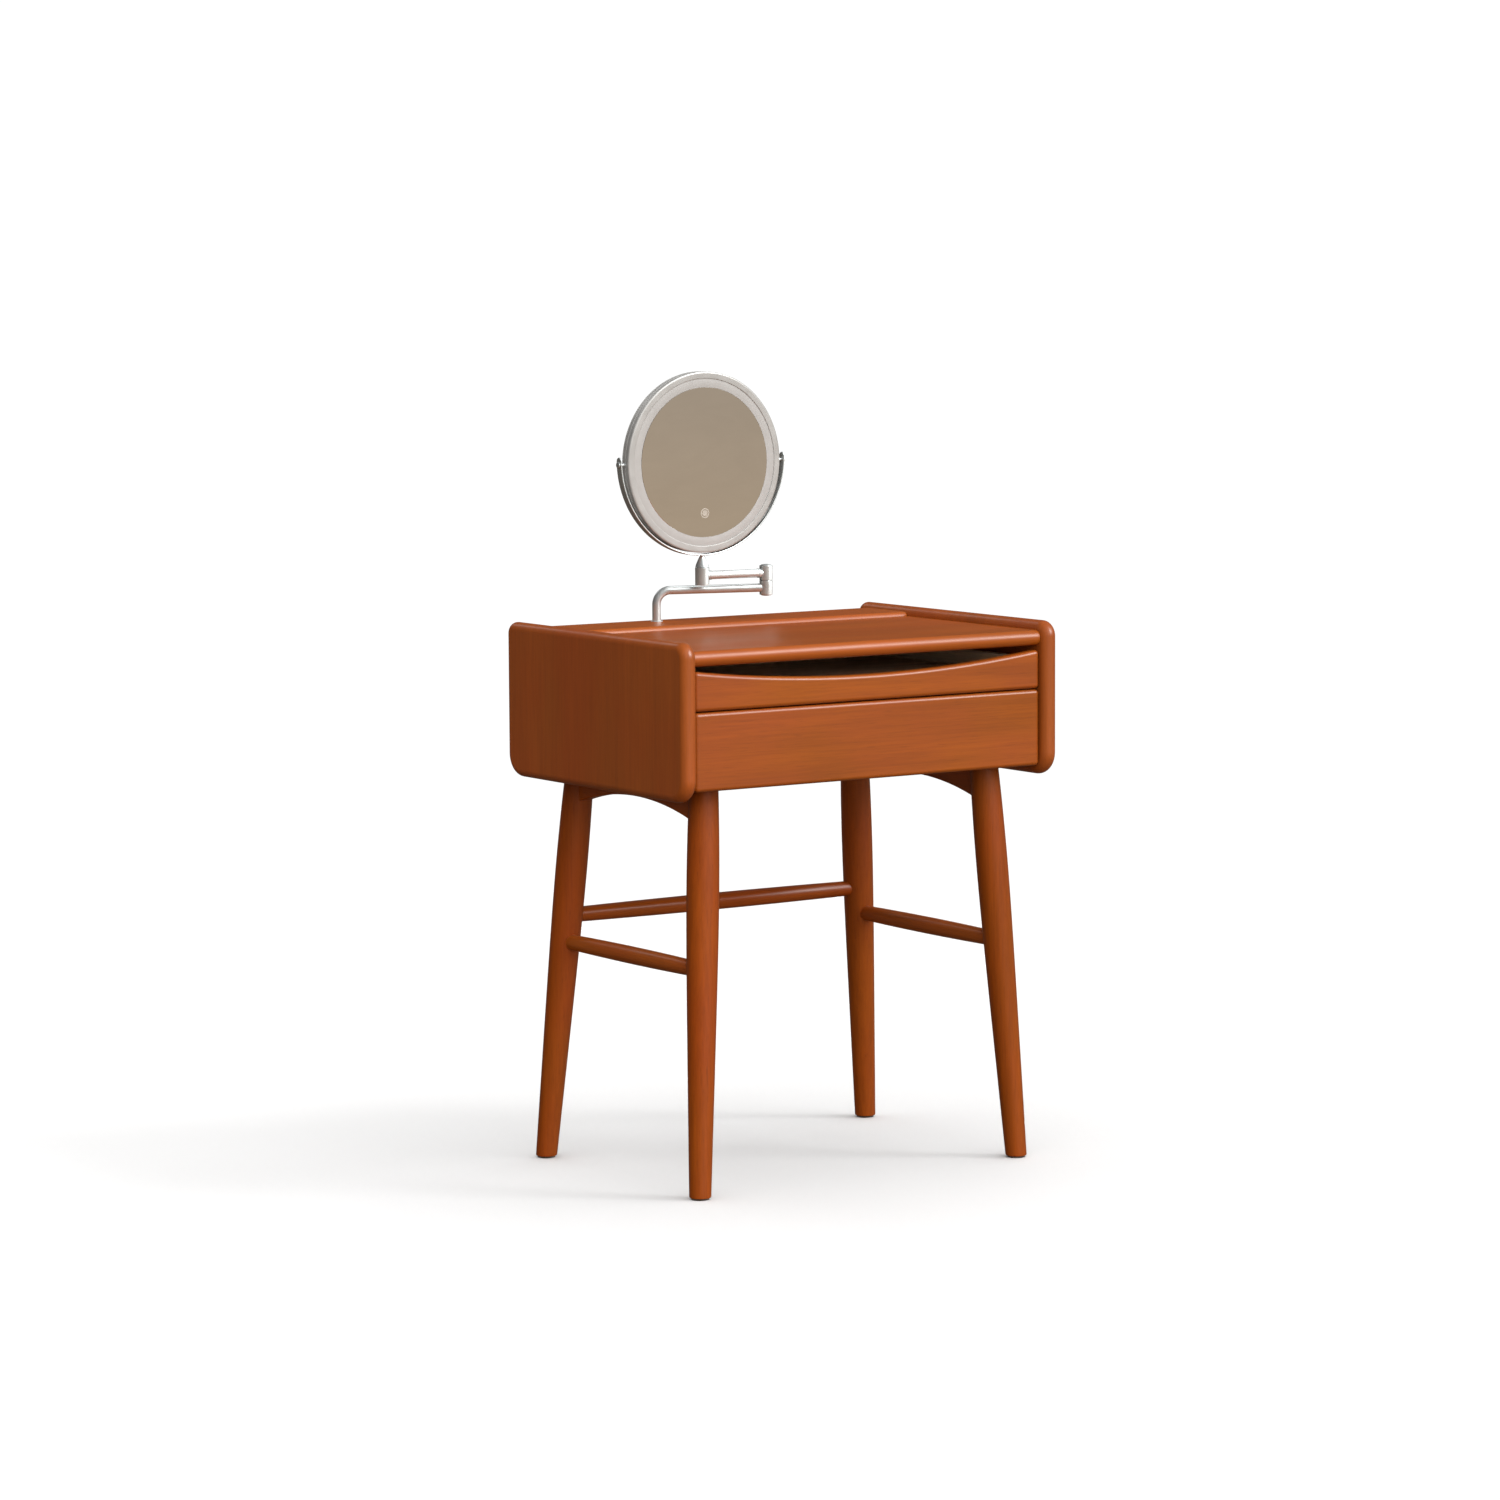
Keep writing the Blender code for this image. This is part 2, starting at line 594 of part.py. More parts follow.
def make_upper_arm(joint):
    direction = (HUB - ELBOW).normalized()
    lift = Vector((0, 0, UPPER_BAR_Z))
    ends = [ELBOW + direction * ELBOW_SOCKET_DEPTH + lift, HUB - direction * HUB_SOCKET_DEPTH + lift]
    add_tube("upper_arm", ends, joint)

    knuckle_low, knuckle_high = KNUCKLE_Z[1] + GAP / 2, KNUCKLE_Z[2]
    knuckle = add_piece("upper_elbow_knuckle", knuckle_shape(knuckle_low, knuckle_high), "satin_metal", joint, True)
    cut(knuckle, socket_shape(ELBOW, HUB, UPPER_BAR_Z, ELBOW_SOCKET_DEPTH), "arm_socket", joint)

    low, high = HUB_Z
    edge, floor = 0.0008, low + 0.005
    profile = ((0, low), (HUB_RADIUS - edge, low), (HUB_RADIUS, low + edge), (HUB_RADIUS, high),
               (HUB_BORE, high), (HUB_BORE, floor), (0, floor))
    hub = add_piece("hub_barrel", turned_shape(profile, HUB, sides=24), "satin_metal", joint, True)
    cut(hub, socket_shape(HUB, ELBOW, UPPER_BAR_Z, HUB_SOCKET_DEPTH), "arm_socket", joint)


# ---- Yoke and mirror ----

def make_yoke(joint):
    centre_z = MIRROR_Z + YOKE_RISE
    inner_radius = YOKE_RADIUS - YOKE_THICKNESS
    outer = arc_points((HUB.x, centre_z), YOKE_RADIUS, 180, 360, 32)
    inner = arc_points((HUB.x, centre_z), inner_radius, 360, 180, 32)
    tips = centre_z + YOKE_TIP
    outline = [(HUB.x - YOKE_RADIUS, tips)] + outer + [(HUB.x + YOKE_RADIUS, tips), (HUB.x + inner_radius, tips)]
    outline += inner + [(HUB.x - inner_radius, tips)]
    band_shape = extruded_shape(outline, "Y", HUB.y - YOKE_WIDTH / 2, HUB.y + YOKE_WIDTH / 2)
    band = add_piece("yoke_band", band_shape, "satin_metal", joint, smooth=True)
    left = Vector((HUB.x - 0.2, HUB.y, MIRROR_Z))
    right = Vector((HUB.x + 0.2, HUB.y, MIRROR_Z))
    shaft = 0.0022
    cut(band, rod_shape(left, right, shaft + GAP), "pivot_holes", joint)

    low = HUB_Z[0] + 0.0055
    seat = HUB_Z[1] + GAP
    tip = MIRROR_Z + YOKE_RISE - YOKE_RADIUS - GAP
    spindle = HUB_BORE - GAP
    profile = ((spindle, low), (spindle, seat), (HUB_RADIUS - 0.0004, seat),
               (HUB_RADIUS - 0.0014, seat + 0.0012), (0.0034, tip - 0.0006), (0.0034, tip))
    add_piece("yoke_spindle", turned_shape(profile, HUB, sides=24), "satin_metal", joint, smooth=True)

    head = 0.0045
    for side in (-1, 1):
        outside = side * (YOKE_RADIUS + 0.0021)
        seat_x = side * (YOKE_RADIUS + GAP)
        end_x = side * (MIRROR_RADIUS - 0.0040)
        profile = ((head - 0.0008, outside), (head, outside - side * 0.0007), (head, seat_x),
                   (shaft, seat_x), (shaft, end_x))
        screw = turned_shape(profile, Vector((HUB.x, HUB.y, MIRROR_Z)), axis="X", sides=20)
        add_piece(f"{side_name(side)}_pivot_screw", screw, "satin_metal", joint, smooth=True)


def make_mirror(joint):
    centre = Vector((HUB.x, HUB.y, MIRROR_Z))

    def turned(name, profile, slot, closed=False, sides=MIRROR_SIDES):
        shape = turned_shape(profile, centre, "Y", sides, closed)
        return add_piece(name, shape, slot, joint, smooth=True)

    # The housing is a round tray on both sides of a thin web.
    half = MIRROR_DEPTH / 2
    lip = half - 0.0025
    outer, inner, web = MIRROR_RADIUS - 0.0006, MIRROR_RADIUS - 0.0044, 0.0005
    profile = ((0, -web), (inner, -web), (inner, -lip), (outer, -lip), (outer, lip), (inner, lip), (inner, web),
               (0, web))
    housing = turned("mirror_housing", profile, "bezel_metal")
    left, right = centre - Vector((0.2, 0, 0)), centre + Vector((0.2, 0, 0))
    for name, end in (("left_pivot_hole", left), ("right_pivot_hole", right)):
        start = centre + (end - centre).normalized() * (MIRROR_RADIUS - 0.010)
        cut(housing, rod_shape(start, end, 0.0022 + GAP), name, joint)

    # A bezel on each side, a rounded ring over the housing's rim.
    bezel_inner = MIRROR_RADIUS - BEZEL_WIDTH
    for name, face in (("front_bezel", -1), ("rear_bezel", 1)):
        profile = [(bezel_inner, face * (lip + GAP)), (MIRROR_RADIUS - 0.0004, face * (lip + GAP)),
                   (MIRROR_RADIUS, face * (lip + 0.0008)), (MIRROR_RADIUS - 0.0010, face * (half - 0.0004)),
                   (MIRROR_RADIUS - 0.0030, face * half), (bezel_inner, face * (half - 0.0004))]
        turned(name, profile, "bezel_metal", closed=True)

    # The front mirror, with the lit ring round it.
    glass_back, glass_face = -0.0052, -half + 0.0008
    turned("front_mirror", ((0, glass_back), (GLASS_RADIUS, glass_back), (GLASS_RADIUS, glass_face), (0, glass_face)),
           "mirror_silver")
    ring_inner, ring_outer = GLASS_RADIUS + GAP, bezel_inner - GAP
    profile = ((ring_inner, glass_back), (ring_outer, glass_back), (ring_outer, glass_face), (ring_inner, glass_face))
    turned("light_diffuser", profile, "light_diffuser", closed=True)

    # The rear mirror magnifies, so its face is slightly hollow.
    rim, hollow, back_z = bezel_inner - GAP, 0.0016, 0.0048
    profile = [(0, back_z), (rim, back_z), (rim, half - 0.0008)]
    for part in (0.8, 0.55, 0.3):
        profile.append((rim * part, half - 0.0008 - hollow * (1 - part * part)))
    profile.append((0, half - 0.0008 - hollow))
    turned("rear_mirror", profile, "mirror_silver")

    # Inside the front tray
    board = ((ring_inner + 0.001, -0.0046), (ring_outer - 0.001, -0.0046),
             (ring_outer - 0.001, -0.0034), (ring_inner + 0.001, -0.0034))
    turned("led_board", board, "circuit_board", closed=True, sides=40)
    low = centre + Vector((-0.030, -0.0044, -0.020))
    high = centre + Vector((0.030, -0.0008, 0.025))
    add_piece("battery", box_shape(low, high), "battery_wrap", joint)
    sensor_centre = centre + Vector((0, 0, -0.0713))
    sensor = turned_shape(((0.0072, -0.0048), (0.0072, -0.0040)), sensor_centre, "Y", 24)
    add_piece("touch_sensor", sensor, "circuit_board", joint, smooth=True)

    make_charging_port(housing, centre, joint)


def make_charging_port(housing, centre, joint):
    """A small socket in the housing's rim, on the upper right."""
    turn = Matrix.Translation(centre) @ Matrix.Rotation(math.radians(-48), 4, "Y")
    outer, inner = MIRROR_RADIUS - 0.0007, MIRROR_RADIUS - 0.0105
    half_width, half_depth = 0.0048, 0.0020

    def block(start, end, extra):
        shape = box_shape((start, -half_depth - extra - 0.0030, -half_width - extra),
                          (end, half_depth + extra - 0.0030, half_width + extra))
        shape.transform(turn)
        return shape

    cut(housing, block(inner - 0.001, MIRROR_RADIUS + 0.01, GAP), "port_slot", joint)
    port = add_piece("charging_port", block(inner, outer, 0), "port_plastic", joint)
    cut(port, block(inner + 0.003, MIRROR_RADIUS + 0.01, -0.0007), "socket", joint)


def main():
    for item in list(bpy.data.objects):
        bpy.data.objects.remove(item, do_unlink=True)
    make_materials()
    make_side_panels()
    make_table_top()
    make_rear_ledge()
    make_case_boards()
    make_legs()
    make_stretchers()
    make_aprons()
    make_drawers()
    make_post_bush()
    post = make_joint("post_swivel", POST + Vector((0, 0, LEDGE_TOP)))
    elbow = make_joint("elbow_hinge", ELBOW + Vector((0, 0, KNUCKLE_Z[1])), post)
    hub = make_joint("hub_swivel", HUB + Vector((0, 0, HUB_Z[1])), elbow)
    tilt = make_joint("mirror_tilt", HUB + Vector((0, 0, MIRROR_Z)), hub)
    make_lower_arm(post)
    make_upper_arm(elbow)
    make_yoke(hub)
    make_mirror(tilt)


main()
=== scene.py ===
"""Looks of the vanity table: lacquered wood, satin nickel, the lighted mirror, and a plain studio."""
import json
import math

import bmesh
import bpy
from mathutils import Matrix, Quaternion, Vector


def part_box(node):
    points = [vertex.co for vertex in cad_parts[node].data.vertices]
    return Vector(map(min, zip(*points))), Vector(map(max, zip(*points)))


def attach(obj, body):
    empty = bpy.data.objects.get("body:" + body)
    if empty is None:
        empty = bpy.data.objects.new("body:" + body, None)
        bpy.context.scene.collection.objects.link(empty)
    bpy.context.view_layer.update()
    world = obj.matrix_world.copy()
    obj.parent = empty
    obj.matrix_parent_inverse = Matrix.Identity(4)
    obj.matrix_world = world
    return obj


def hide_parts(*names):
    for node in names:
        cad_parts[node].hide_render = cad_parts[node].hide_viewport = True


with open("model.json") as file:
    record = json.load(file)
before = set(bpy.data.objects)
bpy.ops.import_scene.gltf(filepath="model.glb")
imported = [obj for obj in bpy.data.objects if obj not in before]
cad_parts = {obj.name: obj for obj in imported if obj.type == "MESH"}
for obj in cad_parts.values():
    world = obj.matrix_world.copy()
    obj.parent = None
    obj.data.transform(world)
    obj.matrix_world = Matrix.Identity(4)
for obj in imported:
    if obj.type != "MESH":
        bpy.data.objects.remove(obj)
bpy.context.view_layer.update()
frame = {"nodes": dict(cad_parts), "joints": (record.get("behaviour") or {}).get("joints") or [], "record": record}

BODIES = frame["record"]["behaviour"]["bodies"]
BODY_OF_NODE = {node: body for body, nodes in BODIES.items() for node in nodes}
SLOT_OF_NODE = {part["node"]: part["material_slot"] for part in frame["record"]["subparts"]}
JOINT_PLACE = {joint["name"]: Vector(joint["pos_m"]) for joint in frame["joints"] if "pos_m" in joint}
POST = JOINT_PLACE["post_swivel"]
ELBOW = JOINT_PLACE["elbow_hinge"]
HUB = JOINT_PLACE["hub_swivel"]
TILT = JOINT_PLACE["mirror_tilt"]
CASE_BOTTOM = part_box("bottom_panel")[0].z

# Sizes that the frame's boxes don't say
PANEL_FRONT_CORNER = 0.022        # at the top
PANEL_REAR_CORNER = 0.016
PANEL_BOTTOM_CORNER = 0.032
BULLNOSE = 0.0113
LEDGE_ROUNDING = 0.008
LEDGE_REAR_ROUNDING = 0.0025
BACK_SCREW_INSET = 0.010
BACK_SCREW_RADIUS = 0.0032
SCOOP_DEPTH = 0.0187
FRONT_ROUNDING = 0.0055
FRONT_SCREW_PLACE = 0.18          # on each side of the middle
FRONT_SCREW_RADIUS = 0.0038
SCREW_PROUD = 0.0001
FOOT_RADIUS = 0.0149
FOOT_EDGE = 0.0016
SWELL_RADIUS = 0.0222
LEG_TOP_RADIUS = 0.0195
SWELL_HEIGHT = 0.415
STRETCHER_END_RADIUS = 0.0104
APRON_ARCH = 0.0215
APRON_EDGE = 0.0022
APRON_HOUSED = 0.004              # how far each end runs into its leg
ARM_RADIUS = 0.006
ARM_BEND_RADIUS = 0.020
ELBOW_SEAT = 0.005                # from the elbow's axis to the bars' ends inside the knuckles
HUB_SEAT = 0.0057
COLLAR_EDGE = 0.0008
PIN_RADIUS = 0.003
PIN_HEAD = 0.0018
FERRULE_WIDTH = 0.0028
ELBOW_FERRULE = 0.0118            # from the elbow's axis to the middle of the ring there
HUB_FERRULE = 0.0126
YOKE_THICKNESS = 0.0022
NECK_RADIUS = 0.0030              # at the top of the spindle
GLASS_RADIUS = 0.1052
BEZEL_WIDTH = 0.0097
BEZEL_CROWN = 0.0028
REAR_GLASS_HOLLOW = 0.0016

X_AXIS, Y_AXIS, Z_AXIS = Vector((1, 0, 0)), Vector((0, 1, 0)), Vector((0, 0, 1))
ACROSS = {"X": (Y_AXIS, Z_AXIS), "Y": (X_AXIS, Z_AXIS), "Z": (X_AXIS, Y_AXIS)}
SHARP_TURN = math.radians(40)     # edges that turn more than this are rounded


# ---- Node helpers ----

class Nodes:
    """A node tree with short ways to add and join its nodes."""

    def __init__(self, tree):
        self.tree = tree

    def node(self, kind, settings=None, **inputs):
        made = self.tree.nodes.new("ShaderNode" + kind)
        for name, value in (settings or {}).items():
            setattr(made, name, value)
        for name, value in inputs.items():
            self.feed(made, name.replace("_", " "), value)
        return made

    def feed(self, target, key, value):
        """Sets a socket by its name or number, or links it when the value is another node's output."""
        if isinstance(value, bpy.types.NodeSocket):
            self.tree.links.new(value, target.inputs[key])
        else:
            target.inputs[key].default_value = value

    def math(self, operation, *values):
        made = self.node("Math", {"operation": operation})
        for index, value in enumerate(values):
            self.feed(made, index, value)
        return made.outputs["Value"]

    def ranged(self, value, low, high, out_low, out_high):
        made = self.node("MapRange", Value=value, From_Min=low, From_Max=high, To_Min=out_low,
                         To_Max=out_high)
        return made.outputs["Result"]

    def ramp(self, value, *stops):
        """A colour ramp with (position, colour) stops."""
        made = self.node("ValToRGB", Fac=value)
        elements = made.color_ramp.elements
        while len(elements) < len(stops):
            elements.new(0.5)
        for element, (position, colour) in zip(elements, stops):
            element.position = position
            element.color = opaque(colour)
        return made.outputs["Color"]

    def blend(self, factor, first, second, mode="MIX"):
        """Mixes two colours, which are the mix node's sockets 6 and 7."""
        made = self.node("Mix", {"data_type": "RGBA", "blend_type": mode})
        for index, value in ((0, factor), (6, opaque(first)), (7, opaque(second))):
            self.feed(made, index, value)
        return made.outputs[2]

    def shade(self, colour, factor):
        """Multiplies a colour by a node's output."""
        grey = self.node("CombineColor", Red=factor, Green=factor, Blue=factor).outputs["Color"]
        return self.blend(1.0, colour, grey, "MULTIPLY")


class Shader(Nodes):
    """A new material's nodes."""

    def __init__(self, name):
        self.material = bpy.data.materials.new(name)
        self.material.use_nodes = True
        super().__init__(self.material.node_tree)
        self.surface = self.tree.nodes["Principled BSDF"]

    def noise(self, stretch, detail=2.0, roughness=0.5, distortion=0.0, shift=(0, 0, 0)):
        """Noise in object coordinates, which stay with a moving piece. stretch scales it on each axis."""
        source = self.node("TexCoord").outputs["Object"]
        place = self.node("Mapping", Vector=source, Scale=stretch, Location=shift).outputs["Vector"]
        made = self.node("TexNoise", Vector=place, Scale=1.0, Detail=detail, Roughness=roughness,
                         Distortion=distortion)
        return made.outputs["Fac"]

    def bump(self, height, strength, distance):
        made = self.node("Bump", Height=height, Strength=strength, Distance=distance)
        self.feed(self.surface, "Normal", made.outputs["Normal"])

    def finish(self, **inputs):
        for name, value in inputs.items():
            self.feed(self.surface, name.replace("_", " "), value)
        return self.material


def opaque(colour):
    """A colour with the alpha that sockets want. A node's output stays as it is."""
    return colour if isinstance(colour, bpy.types.NodeSocket) else (*colour, 1.0)


def tint(colour, factor):
    return tuple(channel * factor for channel in colour)


def along(grain, lengthwise, across):
    """A noise's stretch along the grain's axis and across it."""
    return tuple(lengthwise if axis == grain else across for axis in "XYZ")


def evenly(scale):
    return (scale, scale, scale)


# ---- Materials ----

def lacquered_wood(name, grain, colour, seed, contrast=1.0, roughness=0.35, specular=0.42):
    """Stained cherry under satin lacquer: figure, streaks, fibres, pores and an uneven, redder stain."""
    shader = Shader(name)
    shift = (seed * 1.7, seed * 2.3 + 0.4, seed * 1.1 + 0.3)
    figure = shader.noise(along(grain, 1.6, 15.0), detail=3.0, distortion=0.6, shift=shift)
    streaks = shader.noise(along(grain, 3.5, 75.0), detail=3.0, roughness=0.6, distortion=0.3, shift=shift)
    stain = shader.noise(along(grain, 5.0, 9.0), shift=shift)
    fibres = shader.noise(along(grain, 9.0, 330.0), roughness=0.6, shift=shift)
    pores = shader.noise(along(grain, 34.0, 1100.0), detail=1.0, shift=shift)

    broad = shader.math("MULTIPLY", figure, 0.60)
    broad = shader.math("ADD", broad, shader.math("MULTIPLY", streaks, 0.40))
    spread = 0.16 * contrast
    darker, lighter = tint(colour, 1 - spread * 1.2), tint(colour, 1 + spread)
    base = shader.ramp(broad, (0.34, darker), (0.50, colour), (0.64, lighter))
    redder = (colour[0] * 1.02, colour[1] * 0.80, colour[2] * 0.72)
    base = shader.blend(shader.ranged(stain, 0.38, 0.66, 0.0, 0.75 * contrast), base, redder)
    base = shader.shade(base, shader.ranged(fibres, 0.32, 0.70, 1 - 0.11 * contrast, 1 + 0.06 * contrast))
    dashes = shader.ranged(pores, 0.60, 0.72, 0.0, 0.28 * contrast)
    base = shader.blend(dashes, base, tint(colour, 0.35))

    relief = shader.math("SUBTRACT", shader.math("MULTIPLY", fibres, 0.5), dashes)
    shader.bump(relief, 0.07, 0.0002)
    gloss = shader.ranged(stain, 0.3, 0.7, roughness - 0.04, roughness + 0.05)
    return shader.finish(Base_Color=base, Roughness=gloss, Specular_IOR_Level=specular)


def plain_board(name, grain, colour, seed):
    """Unlacquered ply or board for the inside of the drawers and the back."""
    shader = Shader(name)
    shift = (seed, seed * 0.7, seed * 1.3)
    figure = shader.noise(along(grain, 2.0, 26.0), detail=4.0, roughness=0.6, distortion=0.8, shift=shift)
    fibres = shader.noise(along(grain, 16.0, 520.0), roughness=0.6, shift=shift)
    base = shader.ramp(figure, (0.32, tint(colour, 0.78)), (0.5, colour), (0.68, tint(colour, 1.16)))
    base = shader.shade(base, shader.ranged(fibres, 0.3, 0.7, 0.86, 1.06))
    shader.bump(fibres, 0.22, 0.0003)
    return shader.finish(Base_Color=base, Roughness=shader.ranged(fibres, 0.3, 0.7, 0.50, 0.64))


def satin_metal(name, colour, roughness, grain, brushed=1.0, metallic=1.0):
    """Brushed and plated metal: fine drawn lines, faint clouding, and fingermarks in the gloss."""
    shader = Shader(name)
    lines = shader.noise(along(grain, 40.0, 1100.0), roughness=0.6)
    cloud = shader.noise(evenly(38.0), detail=3.0, roughness=0.55)
    base = shader.ramp(cloud, (0.35, tint(colour, 0.95)), (0.65, tint(colour, 1.02)))
    drawn = shader.ranged(lines, 0.3, 0.7, -0.05 * brushed, 0.05 * brushed)
    gloss = shader.math("ADD", drawn, shader.ranged(cloud, 0.35, 0.65, roughness - 0.03, roughness + 0.04))
    shader.bump(lines, 0.05 * brushed, 0.0001)
    return shader.finish(Base_Color=base, Metallic=metallic, Roughness=gloss)


def silvered_glass(name):
    """A first-surface look for the mirror, with faint smears that only the gloss shows."""
    shader = Shader(name)
    smears = shader.noise((9.0, 9.0, 26.0), detail=4.0, roughness=0.6, distortion=0.7)
    dust = shader.noise(evenly(420.0), detail=1.0)
    base = shader.ramp(smears, (0.35, (0.80, 0.80, 0.79)), (0.7, (0.84, 0.84, 0.83)))
    gloss = shader.math("ADD", shader.ranged(smears, 0.45, 0.75, 0.015, 0.05),
                        shader.ranged(dust, 0.62, 0.70, 0.0, 0.05))
    return shader.finish(Base_Color=base, Metallic=1.0, Roughness=gloss, Coat_Weight=0.6,
                         Coat_Roughness=0.02)


def frosted_acrylic(name):
    """The ring over the lamps: sandblasted and slightly milky."""
    shader = Shader(name)
    grit = shader.noise(evenly(260.0), roughness=0.6)
    milk = shader.noise(evenly(60.0))
    base = shader.ramp(milk, (0.35, (0.39, 0.38, 0.365)), (0.65, (0.41, 0.40, 0.385)))
    shader.bump(grit, 0.03, 0.0001)
    return shader.finish(Base_Color=base, Roughness=shader.ranged(grit, 0.3, 0.7, 0.46, 0.54))


def moulded_plastic(name, colour, roughness):
    shader = Shader(name)
    grit = shader.noise(evenly(900.0), roughness=0.6)
    cloud = shader.noise(evenly(25.0))
    base = shader.ramp(cloud, (0.3, tint(colour, 0.9)), (0.7, tint(colour, 1.1)))
    shader.bump(grit, 0.15, 0.0001)
    gloss = shader.ranged(grit, 0.3, 0.7, roughness - 0.05, roughness + 0.08)
    return shader.finish(Base_Color=base, Roughness=gloss)


def felt(name, colour):
    shader = Shader(name)
    hairs = shader.noise(evenly(900.0), detail=5.0, roughness=0.75, distortion=1.2)
    base = shader.ramp(hairs, (0.3, tint(colour, 0.6)), (0.7, tint(colour, 1.5)))
    shader.bump(hairs, 0.8, 0.0006)
    return shader.finish(Base_Color=base, Roughness=0.95, Sheen_Weight=0.4)


# The side panels' stain is lighter than the fronts' though they are the same wood: painted fill light for their
# sideways faces.
PANEL_COLOUR_WITH_PAINTED_FILL = (0.324, 0.0735, 0.0100)
TOP_COLOUR = (0.338, 0.074, 0.0045)
FRONT_COLOUR = (0.286, 0.065, 0.0035)
LEG_COLOUR = (0.262, 0.053, 0.0030)
# The side rails and aprons get a lighter stain than the legs and rear rail of the same wood: painted fill light
# for their sideways faces.
RAIL_COLOUR_WITH_PAINTED_FILL = (0.340, 0.074, 0.0070)
PLY_COLOUR = (0.74, 0.58, 0.40)

MATERIALS = {
    "left_panel": lacquered_wood("left_panel_wood", "Z", PANEL_COLOUR_WITH_PAINTED_FILL, 0.31, contrast=0.75),
    "right_panel": lacquered_wood("right_panel_wood", "Z", PANEL_COLOUR_WITH_PAINTED_FILL, 0.74, contrast=0.75),
    "top": lacquered_wood("table_top_wood", "X", TOP_COLOUR, 1.45, contrast=0.7, roughness=0.40),
    "ledge": lacquered_wood("ledge_wood", "X", TOP_COLOUR, 2.10, contrast=0.7, roughness=0.44),
    "upper_front": lacquered_wood("upper_front_wood", "X", FRONT_COLOUR, 2.62),
    "lower_front": lacquered_wood("lower_front_wood", "X", FRONT_COLOUR, 3.27),
    "leg": lacquered_wood("leg_wood", "Z", LEG_COLOUR, 3.9, specular=0.26),
    "side_rail": lacquered_wood("side_rail_wood", "Y", RAIL_COLOUR_WITH_PAINTED_FILL, 4.4, specular=0.26),
    "rear_rail": lacquered_wood("rear_rail_wood", "X", LEG_COLOUR, 4.9, specular=0.26),
    "drawer_y": plain_board("drawer_side_wood", "Y", PLY_COLOUR, 0.5),
    "drawer_x": plain_board("drawer_back_wood", "X", PLY_COLOUR, 1.9),
    "board": plain_board("case_board_wood", "X", (0.190, 0.080, 0.038), 2.7),
    "steel": satin_metal("zinc_plated_steel", (0.52, 0.53, 0.54), 0.34, "Y"),
    "nickel": satin_metal("satin_nickel", (0.66, 0.70, 0.70), 0.30, "Z", brushed=0.25, metallic=0.8),
    "bezel": satin_metal("bezel_nickel", (0.46, 0.455, 0.44), 0.40, "Y", brushed=0.02, metallic=0.4),
    "mirror": silvered_glass("silvered_glass"),
    "diffuser": frosted_acrylic("frosted_acrylic"),
    "icon": moulded_plastic("touch_icon_frost", (0.42, 0.38, 0.32), 0.5),
    "felt": felt("foot_felt", (0.05, 0.035, 0.025)),
    "solder_mask": moulded_plastic("white_solder_mask", (0.72, 0.73, 0.71), 0.5),
    "battery": moulded_plastic("battery_wrap", (0.09, 0.15, 0.30), 0.42),
    "black_plastic": moulded_plastic("black_plastic", (0.025, 0.025, 0.026), 0.42),
    # Painted shade for the screws' cross recesses, which are dark boxes on the heads, not cut hollows.
    "recess": moulded_plastic("painted_recess_shade", (0.030, 0.014, 0.008), 0.7),
}


# ---- Shapes ----

def arc(centre, radius, start, end, steps):
    points = []
    for index in range(steps + 1):
        angle = math.radians(start + (end - start) * index / steps)
        points.append((centre[0] + radius * math.cos(angle), centre[1] + radius * math.sin(angle)))
    return points


def shallow_arc(half, depth, steps):
    """Points (across, rise) of a curve: 0 in the middle, depth at its ends, half away on each side."""
    radius = (half * half + depth * depth) / (2 * depth)
    points = []
    for index in range(steps + 1):
        across = -half + 2 * half * index / steps
        points.append((across, radius - math.sqrt(radius * radius - across * across)))
    return points


def circle(centre, radius, first, second, sides):
    """Points round a centre, from the first direction towards the second."""
    points = []
    for step in range(sides):
        angle = 2 * math.pi * step / sides
        points.append(centre + radius * (math.cos(angle) * first + math.sin(angle) * second))
    return points


def eased_end(radius, height, edge, inwards):
    """A turned end's rounding, from its face to its side. inwards is 1 at a lower end, -1 at an upper."""
    return [(radius - edge, height), (radius - edge * 0.3, height + inwards * edge * 0.3),
            (radius, height + inwards * edge)]


def extruded(outline, axis, start, end):
    """Extrudes (u, v) points: (y, z) along X, (x, z) along Y, (x, y) along Z."""
    def place(u, v, distance):
        return {"X": (distance, u, v), "Y": (u, distance, v), "Z": (u, v, distance)}[axis]

    shape = bmesh.new()
    near = shape.faces.new([shape.verts.new(place(u, v, start)) for u, v in outline])
    far = bmesh.ops.extrude_face_region(shape, geom=[near])["geom"]
    far_corners = [item for item in far if isinstance(item, bmesh.types.BMVert)]
    step = Vector(place(0, 0, end)) - Vector(place(0, 0, start))
    bmesh.ops.translate(shape, vec=step, verts=far_corners)
    return shape


def lofted(rings, closed=False):
    """Joins rings of points, or a ring and a single point. closed joins the last ring to the first."""
    shape = bmesh.new()
    loops = [[shape.verts.new(point) for point in ring] for ring in rings]
    pairs = list(zip(loops, loops[1:]))
    if closed:
        pairs.append((loops[-1], loops[0]))
    for lower, upper in pairs:
        count = max(len(lower), len(upper))
        for index in range(count):
            following = (index + 1) % count
            corners = [lower[0]] if len(lower) == 1 else [lower[index], lower[following]]
            corners += [upper[0]] if len(upper) == 1 else [upper[following], upper[index]]
            shape.faces.new(corners)
    if not closed:
        for loop in (loops[0], loops[-1]):
            if len(loop) > 1:
                shape.faces.new(loop)
    return shape


def turned(profile, centre, axis="Z", sides=64, closed=False):
    """Turns (radius, height) points about an axis through centre."""
    upright = {"X": X_AXIS, "Y": Y_AXIS, "Z": Z_AXIS}[axis]
    rings = []
    for radius, height in profile:
        middle = Vector(centre) + height * upright
        rings.append(circle(middle, radius, *ACROSS[axis], sides) if radius > 0 else [middle])
    return lofted(rings, closed)


